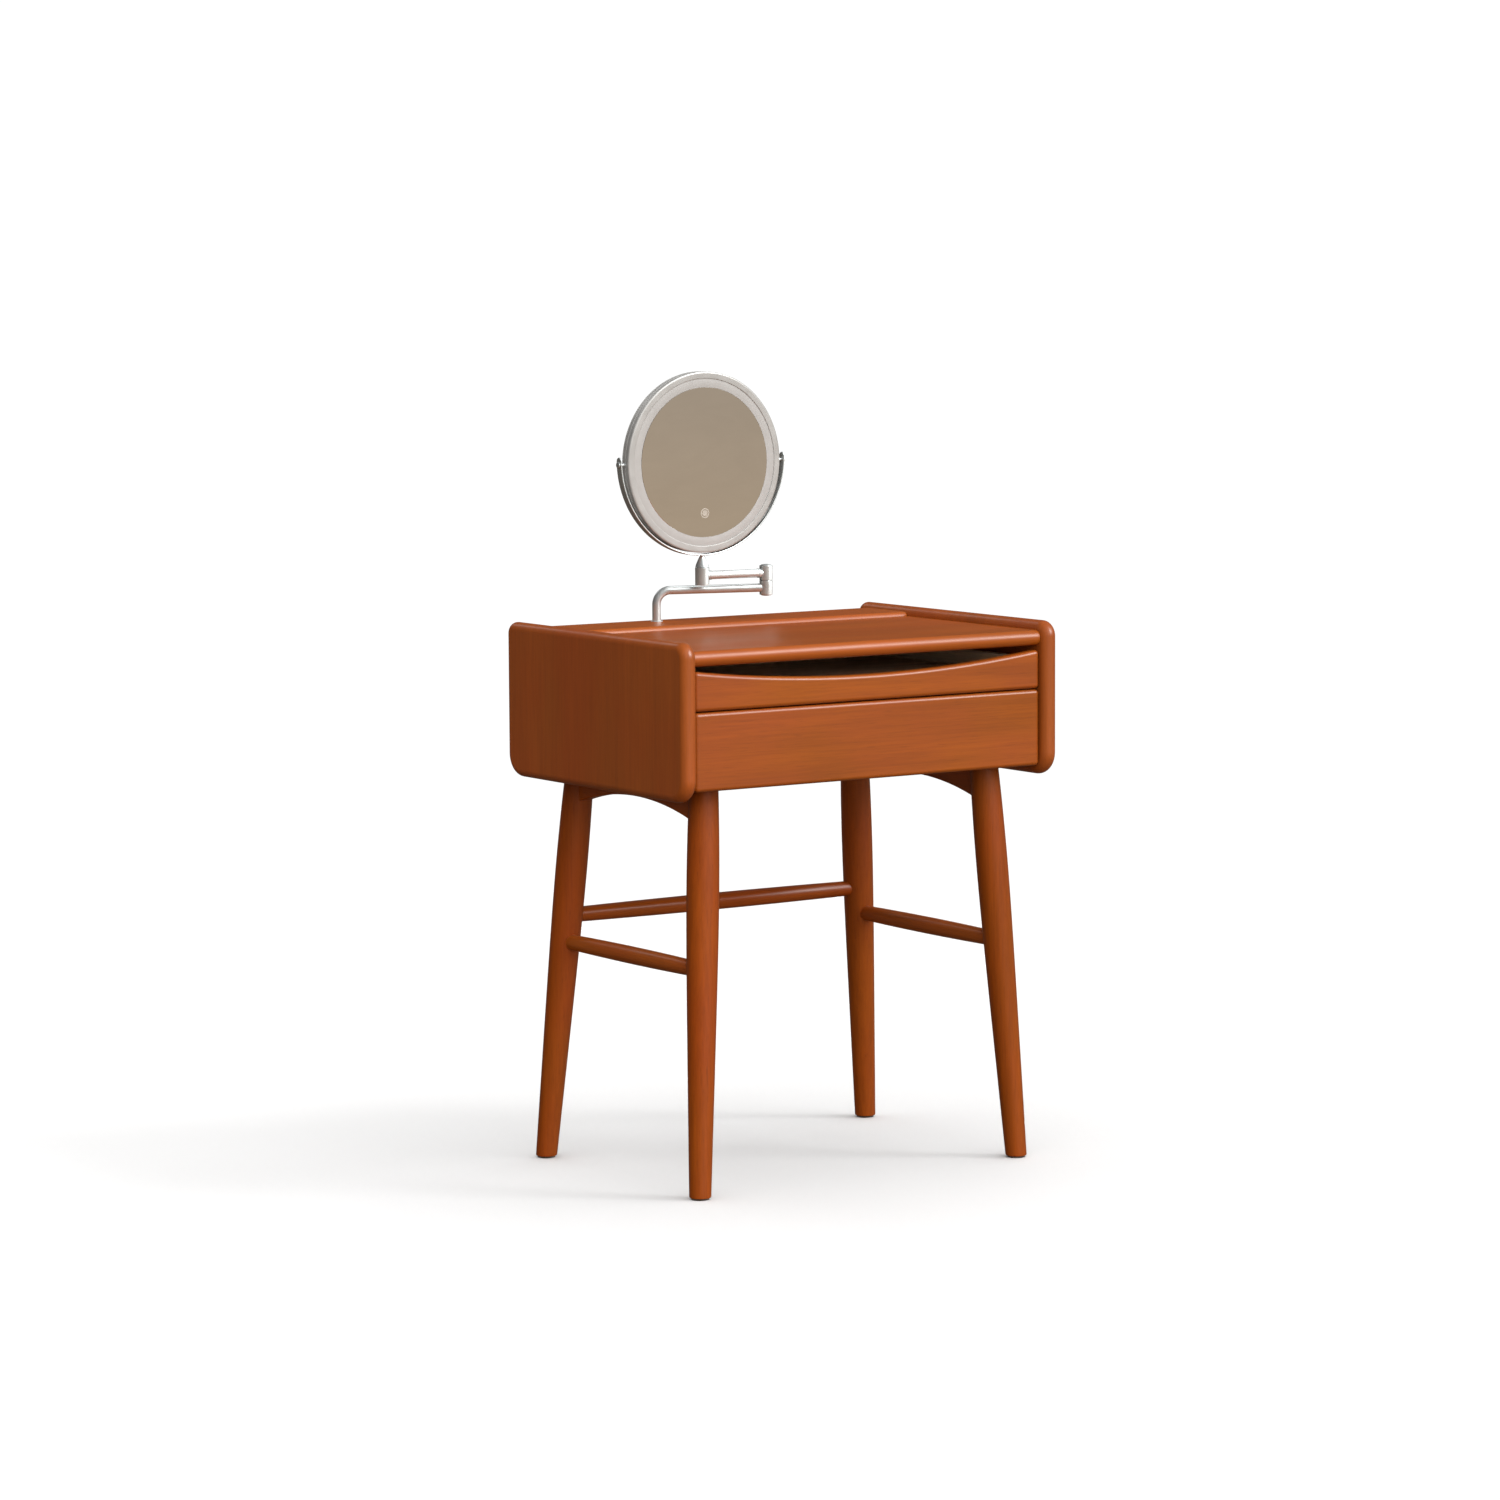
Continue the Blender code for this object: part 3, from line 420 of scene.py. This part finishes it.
def tube(points, radius, sides=32):
    """A round bar along points that all lie in one upright plane."""
    across = (points[-1] - points[0]).cross(Z_AXIS).normalized()
    rings = []
    for index, point in enumerate(points):
        before, after = points[max(index - 1, 0)], points[min(index + 1, len(points) - 1)]
        upwards = across.cross((after - before).normalized())
        rings.append(circle(point, radius, across, upwards, sides))
    return lofted(rings)


def soften(shape, width, segments, only=None):
    """Rounds a shape's sharp edges, or those of them that only() picks."""
    edges = [edge for edge in shape.edges
             if edge.is_manifold and edge.calc_face_angle() > SHARP_TURN and (only is None or only(edge))]
    bmesh.ops.bevel(shape, geom=edges, offset=width, offset_type="OFFSET", segments=segments,
                    profile=0.5, affect="EDGES", clamp_overlap=True)
    return shape


def board(low, high, edge=0.0010, segments=2):
    shape = bmesh.new()
    place = Matrix.Translation((low + high) / 2) @ Matrix.Diagonal(high - low).to_4x4()
    bmesh.ops.create_cube(shape, size=1.0, matrix=place)
    return soften(shape, edge, segments)


# ---- Pieces ----

def add(name, shape, material, body, stands_for=(), slot=None, sharp=32):
    """Makes a piece from a shape, gives it its material, and lets it ride on its body."""
    shape.normal_update()
    bmesh.ops.recalc_face_normals(shape, faces=shape.faces)
    mesh = bpy.data.meshes.new(name)
    shape.to_mesh(mesh)
    shape.free()
    mesh.materials.append(MATERIALS[material])
    mesh.shade_smooth()
    mesh.set_sharp_from_angle(angle=math.radians(sharp))
    piece = bpy.data.objects.new(name, mesh)
    bpy.context.scene.collection.objects.link(piece)
    even = piece.modifiers.new("even_shading", "WEIGHTED_NORMAL")
    even.keep_sharp = True
    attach(piece, body)
    if stands_for:
        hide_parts(*stands_for)
        slot = slot or SLOT_OF_NODE[stands_for[0]]
    return piece


def replace(node, shape, material, sharp=32):
    """Puts a finer piece in the place of a CAD node."""
    return add(f"{node}_fine", shape, material, BODY_OF_NODE[node], [node], sharp=sharp)


def coat(node, material):
    """Gives a CAD node that stays a better material."""
    materials = frame["nodes"][node].data.materials
    materials.clear()
    materials.append(MATERIALS[material])


def middle_of(node):
    low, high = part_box(node)
    return (low + high) / 2


def radius_of(node):
    """Half of an upright round node's width."""
    low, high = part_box(node)
    return (high.x - low.x) / 2


def add_screw(name, place, outwards, body, radius):
    """A countersunk screw head, its face just proud of the surface. Its cross recess is not cut: two thin dark
    boxes on the face carry painted shade in its place.
    """
    proud, sunk = 0.0007, 0.0004
    profile = ((0, -sunk), (radius * 0.94, -sunk), (radius, 0.0001), (radius * 0.9, proud * 0.7),
               (radius * 0.5, proud), (0, proud))
    shape = turned(profile, (0, 0, 0), sides=24)
    head_faces = len(shape.faces)
    # Two thin boxes across the head stand for the cross recess. Their dark material is painted shade, not a
    # hollow.
    recess = Matrix.Diagonal((radius * 1.15, radius * 0.2, 0.0003)).to_4x4()
    for turn in (0, 90):
        crossing = Matrix.Translation((0, 0, proud)) @ Matrix.Rotation(math.radians(turn), 4, "Z")
        bmesh.ops.create_cube(shape, size=1.0, matrix=crossing @ recess)
    shape.faces.ensure_lookup_table()
    for face in shape.faces[head_faces:]:
        face.material_index = 1
    shape.transform(Matrix.Translation(place) @ outwards.to_track_quat("Z", "Y").to_matrix().to_4x4())
    screw = add(name, shape, "steel", body, slot="slide_steel")
    screw.data.materials.append(MATERIALS["recess"])


# ---- Case ----

def make_side_panels():
    for node, material in (("left_side_panel", "left_panel"), ("right_side_panel", "right_panel")):
        low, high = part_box(node)
        corners = ((low.y, low.z, PANEL_BOTTOM_CORNER, 180), (high.y, low.z, PANEL_BOTTOM_CORNER, 270),
                   (high.y, high.z, PANEL_REAR_CORNER, 0), (low.y, high.z, PANEL_FRONT_CORNER, 90))
        outline = []
        for y, z, radius, angle in corners:
            centre = (y - math.copysign(radius, y), z + (radius if z == low.z else -radius))
            outline += arc(centre, radius, angle, angle + 90, 12)
        replace(node, soften(extruded(outline, "X", low.x, high.x), BULLNOSE, 10), material)


def make_table_top():
    low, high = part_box("table_top")
    nose = (high.z - low.z) / 2
    outline = arc((low.y + nose, low.z + nose), nose, 90, 270, 20) + [(high.y, low.z), (high.y, high.z)]
    replace("table_top", extruded(outline, "X", low.x, high.x), "top")

    low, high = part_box("rear_ledge")
    front, rear = LEDGE_ROUNDING, LEDGE_REAR_ROUNDING
    outline = arc((low.y + front, high.z - front), front, 180, 90, 10)
    outline += arc((high.y - rear, high.z - rear), rear, 90, 0, 4)
    outline += [(high.y, low.z), (low.y, low.z)]
    replace("rear_ledge", extruded(outline, "X", low.x, high.x), "ledge")


def make_case_boards():
    for node in ("bottom_panel", "divider_panel", "back_panel"):
        replace(node, board(*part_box(node)), "board")

    low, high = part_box("back_panel")
    left, right = low.x + BACK_SCREW_INSET, high.x - BACK_SCREW_INSET
    gaps = 5
    places = []
    for index in range(gaps + 1):
        x = left + (right - left) * index / gaps
        places += [(x, low.z + BACK_SCREW_INSET), (x, high.z - BACK_SCREW_INSET)]
    places += [(x, (low.z + high.z) / 2) for x in (left, right)]
    for index, (x, z) in enumerate(places):
        place = Vector((x, high.y, z))
        add_screw(f"back_panel_screw_{index + 1}", place, Y_AXIS, "table", BACK_SCREW_RADIUS)


# ---- Legs and rails ----

def leg_radius(height):
    if height < SWELL_HEIGHT:
        part = height / SWELL_HEIGHT
        return FOOT_RADIUS + (SWELL_RADIUS - FOOT_RADIUS) * (1.2 * part - 0.2 * part ** 6)
    part = (height - SWELL_HEIGHT) / (CASE_BOTTOM - SWELL_HEIGHT)
    return SWELL_RADIUS - (SWELL_RADIUS - LEG_TOP_RADIUS) * part * part


def leg_axis(corner, height):
    """The middle of a splayed leg at a height: from its foot pad to its head under the case."""
    low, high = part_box(f"{corner}_leg")
    foot = middle_of(f"{corner}_foot_pad")
    head_x = (high.x if foot.x < 0 else low.x) + math.copysign(LEG_TOP_RADIUS, foot.x)
    head_y = (high.y if foot.y < 0 else low.y) + math.copysign(LEG_TOP_RADIUS, foot.y)
    part = height / CASE_BOTTOM
    return Vector((foot.x + (head_x - foot.x) * part, foot.y + (head_y - foot.y) * part, height))


def make_legs():
    steps, sides = 44, 56
    for corner in ("front_left", "front_right", "rear_left", "rear_right"):
        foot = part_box(f"{corner}_leg")[0].z
        stations = eased_end(leg_radius(foot), foot, FOOT_EDGE, 1)
        for index in range(1, steps + 1):
            height = foot + FOOT_EDGE + (CASE_BOTTOM - foot - FOOT_EDGE) * index / steps
            stations.append((leg_radius(height), height))
        rings = []
        for radius, height in stations:
            rings.append(circle(leg_axis(corner, height), radius, X_AXIS, Y_AXIS, sides))
        replace(f"{corner}_leg", lofted(rings), "leg")
        coat(f"{corner}_foot_pad", "felt")


def make_stretchers():
    steps, sides = 40, 40
    for node, material, lengthwise, across in (("left_side_stretcher", "side_rail", Y_AXIS, X_AXIS),
                                               ("right_side_stretcher", "side_rail", Y_AXIS, X_AXIS),
                                               ("rear_stretcher", "rear_rail", X_AXIS, Y_AXIS)):
        low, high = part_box(node)
        middle = (low + high) / 2
        reach = lengthwise * lengthwise.dot(high - low) / 2
        if lengthwise == Y_AXIS:
            rear, front = leg_axis("rear_right", middle.z), leg_axis("front_right", middle.z)
            reach += across * math.copysign((rear.x - front.x) / 2, middle.x)
        swell = (high.z - low.z) / 2 - STRETCHER_END_RADIUS
        rings = []
        for index in range(steps + 1):
            part = index / steps
            radius = STRETCHER_END_RADIUS + swell * math.sin(math.pi * part) ** 0.8
            rings.append(circle(middle + reach * (2 * part - 1), radius, across, Z_AXIS, sides))
        replace(node, lofted(rings), material)


def make_aprons():
    for node in ("left_apron", "right_apron"):
        low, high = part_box(node)
        half = high.y + APRON_HOUSED
        outline = [(y, low.z + APRON_ARCH - fall) for y, fall in shallow_arc(half, APRON_ARCH, 40)]
        outline += [(half, high.z), (-half, high.z)]

        def under_arch(edge):
            first, second = edge.verts
            lengthwise = abs(first.co.y - second.co.y) > 0.001
            return lengthwise and max(first.co.z, second.co.z) < high.z - 0.005

        shape = soften(extruded(outline, "X", low.x, high.x), APRON_EDGE, 4, only=under_arch)
        replace(node, shape, "side_rail")


# ---- Drawers ----

def make_drawer_fronts():
    replace("lower_drawer_front", board(*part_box("lower_drawer_front"), FRONT_ROUNDING, 8), "lower_front")

    low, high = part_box("upper_drawer_front")
    half = (high.x - low.x) / 2
    outline = [(low.x, low.z), (high.x, low.z)]
    for x, rise in reversed(shallow_arc(half, SCOOP_DEPTH, 60)):
        outline.append((x, high.z - SCOOP_DEPTH + rise))
    shape = soften(extruded(outline, "Y", low.y, high.y), FRONT_ROUNDING, 8)
    replace("upper_drawer_front", shape, "upper_front")


def make_drawer_boxes():
    for level in ("upper", "lower"):
        for side in ("left", "right"):
            node = f"{level}_drawer_{side}_side"
            replace(node, board(*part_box(node), 0.0012, 3), "drawer_y")
            coat(f"{level}_{side}_drawer_slide", "steel")
            coat(f"{level}_{side}_case_slide", "steel")
        for part in ("back", "floor"):
            node = f"{level}_drawer_{part}"
            replace(node, board(*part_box(node)), "drawer_x")

        height = middle_of(f"{level}_drawer_back").z
        rear_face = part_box(f"{level}_drawer_left_side")[0].y + SCREW_PROUD
        for index, x in enumerate((-FRONT_SCREW_PLACE, FRONT_SCREW_PLACE)):
            add_screw(f"{level}_front_screw_{index + 1}", Vector((x, rear_face, height)), Y_AXIS,
                      f"{level}_drawer", FRONT_SCREW_RADIUS)


# ---- Mirror arm ----

def at_height(place, height):
    return Vector((place.x, place.y, height))


def make_lower_arm():
    low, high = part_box("lower_arm")
    bar_z = high.z - ARM_RADIUS
    direction = at_height(ELBOW - POST, 0).normalized()
    bend_centre = at_height(POST, bar_z - ARM_BEND_RADIUS) + direction * ARM_BEND_RADIUS
    points = [at_height(POST, low.z), at_height(POST, low.z + 5 * ARM_RADIUS)]
    steps = 20
    for index in range(steps + 1):
        angle = math.pi / 2 * index / steps
        spoke = Z_AXIS * math.sin(angle) - direction * math.cos(angle)
        points.append(bend_centre + ARM_BEND_RADIUS * spoke)
    points.append(at_height(ELBOW, bar_z) - direction * ELBOW_SEAT)
    replace("lower_arm", tube(points, ARM_RADIUS), "nickel")

    radius, top = radius_of("post_bush"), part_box("post_bush")[1].z
    bore, flange, edge = ARM_RADIUS + 0.0002, 0.0012, 0.0006
    profile = ((bore, top - 0.004), (radius * 0.9, top - 0.004), (radius, top - flange),
               (radius, top - edge), (radius - edge, top), (bore + 0.0004, top), (bore, top - 0.0005))
    replace("post_bush", turned(profile, at_height(POST, 0), sides=48, closed=True), "nickel")
    coat("post_nut", "steel")


def make_elbow():
    for node in ("lower_elbow_knuckle", "upper_elbow_knuckle"):
        low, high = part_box(node)
        radius = radius_of(node)
        profile = [(0, low.z), *eased_end(radius, low.z, COLLAR_EDGE, 1)]
        profile += [*reversed(eased_end(radius, high.z, COLLAR_EDGE, -1)), (0, high.z)]
        replace(node, turned(profile, at_height(ELBOW, 0), sides=56), "nickel")

    low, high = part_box("elbow_pin")
    radius, dome = radius_of("elbow_pin"), 0.0005
    head = ((0, 0), (radius * 0.5, dome * 0.2), (radius * 0.86, dome), (radius, dome * 2),
            (radius, PIN_HEAD), (PIN_RADIUS, PIN_HEAD))
    profile = [(across, low.z + depth) for across, depth in head]
    profile += [(across, high.z - depth) for across, depth in reversed(head)]
    replace("elbow_pin", turned(profile, at_height(ELBOW, 0), sides=48), "nickel")


def make_upper_arm():
    bar_z = middle_of("upper_arm").z
    elbow_end, hub_end = at_height(ELBOW, bar_z), at_height(HUB, bar_z)
    direction = (hub_end - elbow_end).normalized()
    bar = [elbow_end + direction * ELBOW_SEAT, hub_end - direction * HUB_SEAT]
    replace("upper_arm", tube(bar, ARM_RADIUS), "nickel")

    half, edge = FERRULE_WIDTH / 2, 0.0003
    for end, middle in (("elbow", elbow_end + direction * ELBOW_FERRULE),
                        ("hub", hub_end - direction * HUB_FERRULE)):
        stations = [middle + direction * shift for shift in (-half, edge - half, half - edge, half)]
        add(f"upper_arm_{end}_ferrule", tube(stations, ARM_RADIUS + 0.0006), "nickel", "upper_arm_body",
            slot="satin_metal")

    low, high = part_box("hub_barrel")
    radius, edge = radius_of("hub_barrel"), COLLAR_EDGE / 2
    profile = [(0, low.z), *eased_end(radius, low.z, COLLAR_EDGE, 1)]
    profile += [(radius, high.z - edge), (radius - edge, high.z), (0, high.z)]
    replace("hub_barrel", turned(profile, at_height(HUB, 0), sides=56), "nickel")


def make_yoke_spindle():
    low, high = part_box("yoke_spindle")
    radius, shank = radius_of("yoke_spindle"), 0.004
    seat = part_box("hub_barrel")[1].z + 0.0003
    cone_foot, shoulder = seat + 0.0014, radius - 0.0002
    profile = [(shank, low.z), (shank, seat), (radius - 0.0005, seat), (radius, seat + 0.0006),
               (shoulder, cone_foot)]
    steps = 8
    for index in range(1, steps + 1):
        part = index / steps
        profile.append((shoulder - (shoulder - NECK_RADIUS) * part ** 1.25,
                        cone_foot + (high.z - cone_foot) * part))
    replace("yoke_spindle", turned(profile, at_height(HUB, 0), sides=56), "nickel")


def band_section(middle, outwards, half_width):
    """A flat strip's cross-section with rounded edges: wide along Y, thin along outwards."""
    half_thick = YOKE_THICKNESS / 2
    edge = min(half_thick, half_width) * 0.9
    points = []
    for wide_side, thick_side, start in ((1, 1, 0), (-1, 1, 90), (-1, -1, 180), (1, -1, 270)):
        for step in range(4):
            angle = math.radians(start + 30 * step)
            wide = wide_side * (half_width - edge) + edge * math.cos(angle)
            thick = thick_side * (half_thick - edge) + edge * math.sin(angle)
            points.append(middle + Y_AXIS * wide + outwards * thick)
    return points


def make_yoke_band():
    """A half circle under the mirror that goes on upwards on both sides, to a rounded tip at each pivot."""
    low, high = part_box("yoke_band")
    outer, tip = radius_of("yoke_band"), (high.y - low.y) / 2
    centre = Vector((TILT.x, TILT.y, low.z + outer))
    middle_radius = outer - YOKE_THICKNESS / 2
    straight = high.z - centre.z
    straight_steps, curve_steps, narrowest = 9, 96, 0.0008

    def side_sections(outwards):
        sections = []
        for step in range(straight_steps + 1):
            rise = straight * step / straight_steps
            past = max(rise - (straight - tip), 0.0) / tip
            half_width = max(tip * math.sqrt(max(1 - past * past, 0.0)), narrowest)
            sections.append(band_section(centre + outwards * middle_radius + Z_AXIS * rise, outwards,
                                         half_width))
        return sections

    rings = side_sections(-X_AXIS)[::-1]
    for step in range(1, curve_steps):
        angle = math.pi + math.pi * step / curve_steps
        outwards = Vector((math.cos(angle), 0, math.sin(angle)))
        rings.append(band_section(centre + outwards * middle_radius, outwards, tip))
    rings += side_sections(X_AXIS)
    replace("yoke_band", lofted(rings), "nickel")


def make_pivot_screws():
    shank = 0.0022
    for side, node in ((-1, "left_pivot_screw"), (1, "right_pivot_screw")):
        low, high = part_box(node)
        outside, inside = (low.x, high.x) if side < 0 else (high.x, low.x)
        radius = (high.z - low.z) / 2
        seat = TILT.x + side * (radius_of("yoke_band") + 0.0002)
        profile = ((0, outside), (radius * 0.55, outside), (radius * 0.9, outside - side * 0.0004),
                   (radius, outside - side * 0.0010), (radius, seat), (shank, seat), (shank, inside))
        replace(node, turned(profile, (0, TILT.y, TILT.z), "X", 40), "nickel")


# ---- Mirror ----

MIRROR_SIDES = 128
BEZEL_INNER_RADIUS = radius_of("front_bezel") - BEZEL_WIDTH


def make_mirror_rims():
    """The housing with a groove round its middle, and a crowned bezel on each face."""
    low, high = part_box("mirror_housing")
    outer, lip = radius_of("mirror_housing"), (high.y - low.y) / 2
    wall, edge, groove = 0.004, 0.0004, 0.0005
    half = ((outer - wall, lip), (outer - edge, lip), (outer, lip - edge), (outer, 0.0012),
            (outer - groove, 0.0008))
    profile = [(radius, -height) for radius, height in half] + list(reversed(half))
    replace("mirror_housing", turned(profile, TILT, "Y", MIRROR_SIDES, True), "bezel")

    outer, inner = radius_of("front_bezel"), BEZEL_INNER_RADIUS
    face = TILT.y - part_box("front_bezel")[0].y
    joint, shoulder = lip + 0.0003, lip + 0.0009
    half = [(inner + 0.0004, joint), (outer - 0.0006, joint), (outer, shoulder)]
    steps = 8
    for index in range(1, steps + 1):
        angle = math.pi / 2 * index / steps
        half.append((outer - BEZEL_CROWN + BEZEL_CROWN * math.cos(angle),
                     shoulder + (face - shoulder) * math.sin(angle)))
    half += [(inner + 0.0010, face), (inner + 0.0003, face - 0.0002), (inner, face - 0.0008)]
    for node, side in (("front_bezel", -1), ("rear_bezel", 1)):
        profile = [(radius, side * height) for radius, height in half]
        replace(node, turned(profile, TILT, "Y", MIRROR_SIDES, True), "bezel")


def show_to_camera_only(glass):
    """Keeps the lamps that the mirror reflects from drawing a bright patch on the table."""
    glass.visible_diffuse = False
    glass.visible_glossy = False


def make_front_glass():
    low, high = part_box("front_mirror")
    face, back = low.y - TILT.y, high.y - TILT.y
    profile = ((0, back), (GLASS_RADIUS, back), (GLASS_RADIUS, face + 0.0005),
               (GLASS_RADIUS - 0.0004, face), (0, face))
    glass = replace("front_mirror", turned(profile, TILT, "Y", MIRROR_SIDES), "mirror", sharp=8)
    show_to_camera_only(glass)

    crown, steps = 0.0003, 8
    profile = [(GLASS_RADIUS, back), (BEZEL_INNER_RADIUS, back)]
    for index in range(steps + 1):
        part = index / steps
        profile.append((BEZEL_INNER_RADIUS + (GLASS_RADIUS - BEZEL_INNER_RADIUS) * part,
                        face + crown - crown * math.sin(math.pi * part)))
    replace("light_diffuser", turned(profile, TILT, "Y", MIRROR_SIDES, True), "diffuser")


def make_rear_glass():
    low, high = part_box("rear_mirror")
    radius, rim, back = radius_of("rear_mirror"), high.y - TILT.y, low.y - TILT.y
    profile = [(0, back), (radius, back)]
    steps = 24
    for index in range(steps + 1):
        part = 1 - index / steps
        profile.append((radius * part, rim - REAR_GLASS_HOLLOW * (1 - part * part)))
    glass = replace("rear_mirror", turned(profile, TILT, "Y", MIRROR_SIDES), "mirror", sharp=20)
    show_to_camera_only(glass)


def make_touch_mark():
    """A frosted mark on the glass over the touch sensor: a disc with a ring round it."""
    place = at_height(TILT, middle_of("touch_sensor").z)
    glass_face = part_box("front_mirror")[0].y - TILT.y
    front, back = glass_face - 0.00012, glass_face + 0.0001
    disc = ((0, front), (0.0042, front), (0.0044, back), (0, back))
    ring = ((0.0054, back), (0.0071, back), (0.0070, front), (0.0055, front))
    add("touch_mark_disc", turned(disc, place, "Y", 48), "icon", "mirror_body", slot="light_diffuser")
    add("touch_mark_ring", turned(ring, place, "Y", 48, True), "icon", "mirror_body", slot="light_diffuser")


def coat_mirror_electrics():
    coat("led_board", "solder_mask")
    coat("touch_sensor", "solder_mask")
    coat("battery", "battery")
    coat("charging_port", "black_plastic")


# ---- Studio ----

CAMERA_AZIMUTH = math.radians(-33.78)
CAMERA_ELEVATION = math.radians(6.09)
CAMERA_ROLL = math.radians(-0.30)
CAMERA_DISTANCE = 6.911
CAMERA_LENS = 119.6
CAMERA_TARGET = Vector((-0.0533, 0.0, 0.5774))
FLOOR_RADIUS = 4.2
BRIGHT_WALL = Vector((0.42, -0.62, 0.66))
REAR_HIGHLIGHT = (-0.10, 0.83, 0.55)

# Each lamp's direction from the table, its power, and how wide it looks in degrees
LAMPS = {
    "key": ((-0.055, -0.827, 0.559), 3.3, 75),
    "sky": ((0.0, 0.0, 1.0), 0.95, 160),
    "side": ((0.553, -0.481, 0.679), 0.5, 14),
    "back": (REAR_HIGHLIGHT, 0.07, 12),
    "left_fill": ((-0.95, -0.30, 0.08), 0.38, 60),
    "rear_fill": ((0.20, 0.97, 0.10), 0.7, 80),
    "floor_light": ((0.10, -0.15, 1.0), 1.85, 110),
    "side_strip": ((0.482, -0.720, 0.500), 2.8, 22),
    "back_strip": (REAR_HIGHLIGHT, 0.03, 20),
    "metal_light": ((0.70, -0.37, 0.62), 3.6, 105),
}
KEPT_OFF_FLOOR = ("key", "left_fill", "rear_fill")
WITHOUT_HIGHLIGHTS = ("key", "sky", "floor_light", "left_fill", "rear_fill")
ONLY_HIGHLIGHTS = ("side_strip", "back_strip", "metal_light")


def make_camera():
    level = math.cos(CAMERA_ELEVATION)
    back = Vector((math.sin(CAMERA_AZIMUTH) * level, -math.cos(CAMERA_AZIMUTH) * level,
                   math.sin(CAMERA_ELEVATION)))
    lens = bpy.data.cameras.new("camera")
    lens.sensor_width = 36.0
    lens.lens = CAMERA_LENS
    camera = bpy.data.objects.new("camera", lens)
    bpy.context.scene.collection.objects.link(camera)
    camera.location = CAMERA_TARGET + back * CAMERA_DISTANCE
    camera.rotation_mode = "QUATERNION"
    camera.rotation_quaternion = (-back).to_track_quat("-Z", "Y") @ Quaternion((0, 0, 1), CAMERA_ROLL)
    bpy.context.scene.camera = camera


def make_floor():
    """A pale disc. The table's own light bounces and reflections leave it out."""
    shape = bmesh.new()
    bmesh.ops.create_circle(shape, cap_ends=True, radius=FLOOR_RADIUS, segments=96)
    mesh = bpy.data.meshes.new("studio_floor")
    shape.to_mesh(mesh)
    shape.free()
    shader = Shader("pale_floor")
    cloud = shader.noise(evenly(1.5))
    base = shader.ramp(cloud, (0.3, (0.93, 0.93, 0.93)), (0.7, (0.95, 0.95, 0.95)))
    mesh.materials.append(shader.finish(Base_Color=base, Roughness=0.9, Specular_IOR_Level=0.1))
    floor = bpy.data.objects.new("studio_floor", mesh)
    bpy.context.scene.collection.objects.link(floor)
    floor.visible_diffuse = False
    floor.visible_glossy = False
    return floor


def add_sun(name, towards, power, angle):
    lamp = bpy.data.lights.new(name, "SUN")
    lamp.energy = power
    lamp.angle = math.radians(angle)
    light = bpy.data.objects.new(name, lamp)
    bpy.context.scene.collection.objects.link(light)
    light.rotation_mode = "QUATERNION"
    light.rotation_quaternion = Vector(towards).to_track_quat("Z", "Y")
    return light


def light_only(light, *lit):
    """Keeps a light for these objects."""
    receivers = bpy.data.collections.new(f"{light.name}_receivers")
    for thing in lit:
        receivers.objects.link(thing)
    light.light_linking.receiver_collection = receivers
    return receivers


def light_all_but(light, unlit):
    receivers = light_only(light, unlit)
    receivers.collection_objects[0].light_linking.link_state = "EXCLUDE"


def make_world():
    """White for the camera. For light and reflections, a dim room, brightest at the front right."""
    world = bpy.data.worlds.new("studio")
    world.use_nodes = True
    world.node_tree.nodes.clear()
    room = Nodes(world.node_tree)

    coordinates = room.node("TexCoord").outputs["Generated"]
    facing = room.node("VectorMath", {"operation": "DOT_PRODUCT"})
    room.feed(facing, 0, coordinates)
    room.feed(facing, 1, BRIGHT_WALL.normalized())
    towards_wall = room.math("MULTIPLY_ADD", facing.outputs["Value"], 0.5, 0.5)
    above = room.ramp(towards_wall, (0.0, (0.015, 0.013, 0.012)), (0.45, (0.045, 0.040, 0.037)),
                      (0.75, (0.20, 0.195, 0.19)), (1.0, (0.42, 0.42, 0.41)))
    below = room.ramp(towards_wall, (0.0, (0.05, 0.04, 0.03)), (0.5, (0.22, 0.17, 0.12)),
                      (0.85, (0.46, 0.36, 0.26)))
    height = room.node("SeparateXYZ", Vector=coordinates).outputs["Z"]
    walls = room.blend(room.ranged(height, -0.06, 0.06, 0.0, 1.0), below, above)

    lighting = room.node("Background", Color=walls)
    seen = room.node("Background", Color=(1.0, 1.0, 1.0, 1.0), Strength=1.05)
    choice = room.node("MixShader", Fac=room.node("LightPath").outputs["Is Camera Ray"])
    room.feed(choice, 1, lighting.outputs["Background"])
    room.feed(choice, 2, seen.outputs["Background"])
    room.node("OutputWorld", Surface=choice.outputs["Shader"])
    bpy.context.scene.world = world


def make_studio():
    bpy.context.scene.view_settings.view_transform = "Standard"
    make_camera()
    floor = make_floor()
    make_world()
    lights = {name: add_sun(name, *setting) for name, setting in LAMPS.items()}
    light_only(lights["floor_light"], floor)
    for name in KEPT_OFF_FLOOR:
        light_all_but(lights[name], floor)
    nickel_pieces = [thing for thing in bpy.data.objects
                     if thing.type == "MESH" and MATERIALS["nickel"].name in thing.data.materials]
    light_only(lights["metal_light"], *nickel_pieces)
    for name in WITHOUT_HIGHLIGHTS:
        lights[name].visible_glossy = False
    for name in ONLY_HIGHLIGHTS:
        lights[name].visible_diffuse = False


# ---- The table ----

make_side_panels()
make_table_top()
make_case_boards()
make_legs()
make_stretchers()
make_aprons()
make_drawer_fronts()
make_drawer_boxes()
make_lower_arm()
make_elbow()
make_upper_arm()
make_yoke_spindle()
make_yoke_band()
make_pivot_screws()
make_mirror_rims()
make_front_glass()
make_rear_glass()
make_touch_mark()
coat_mirror_electrics()
make_studio()
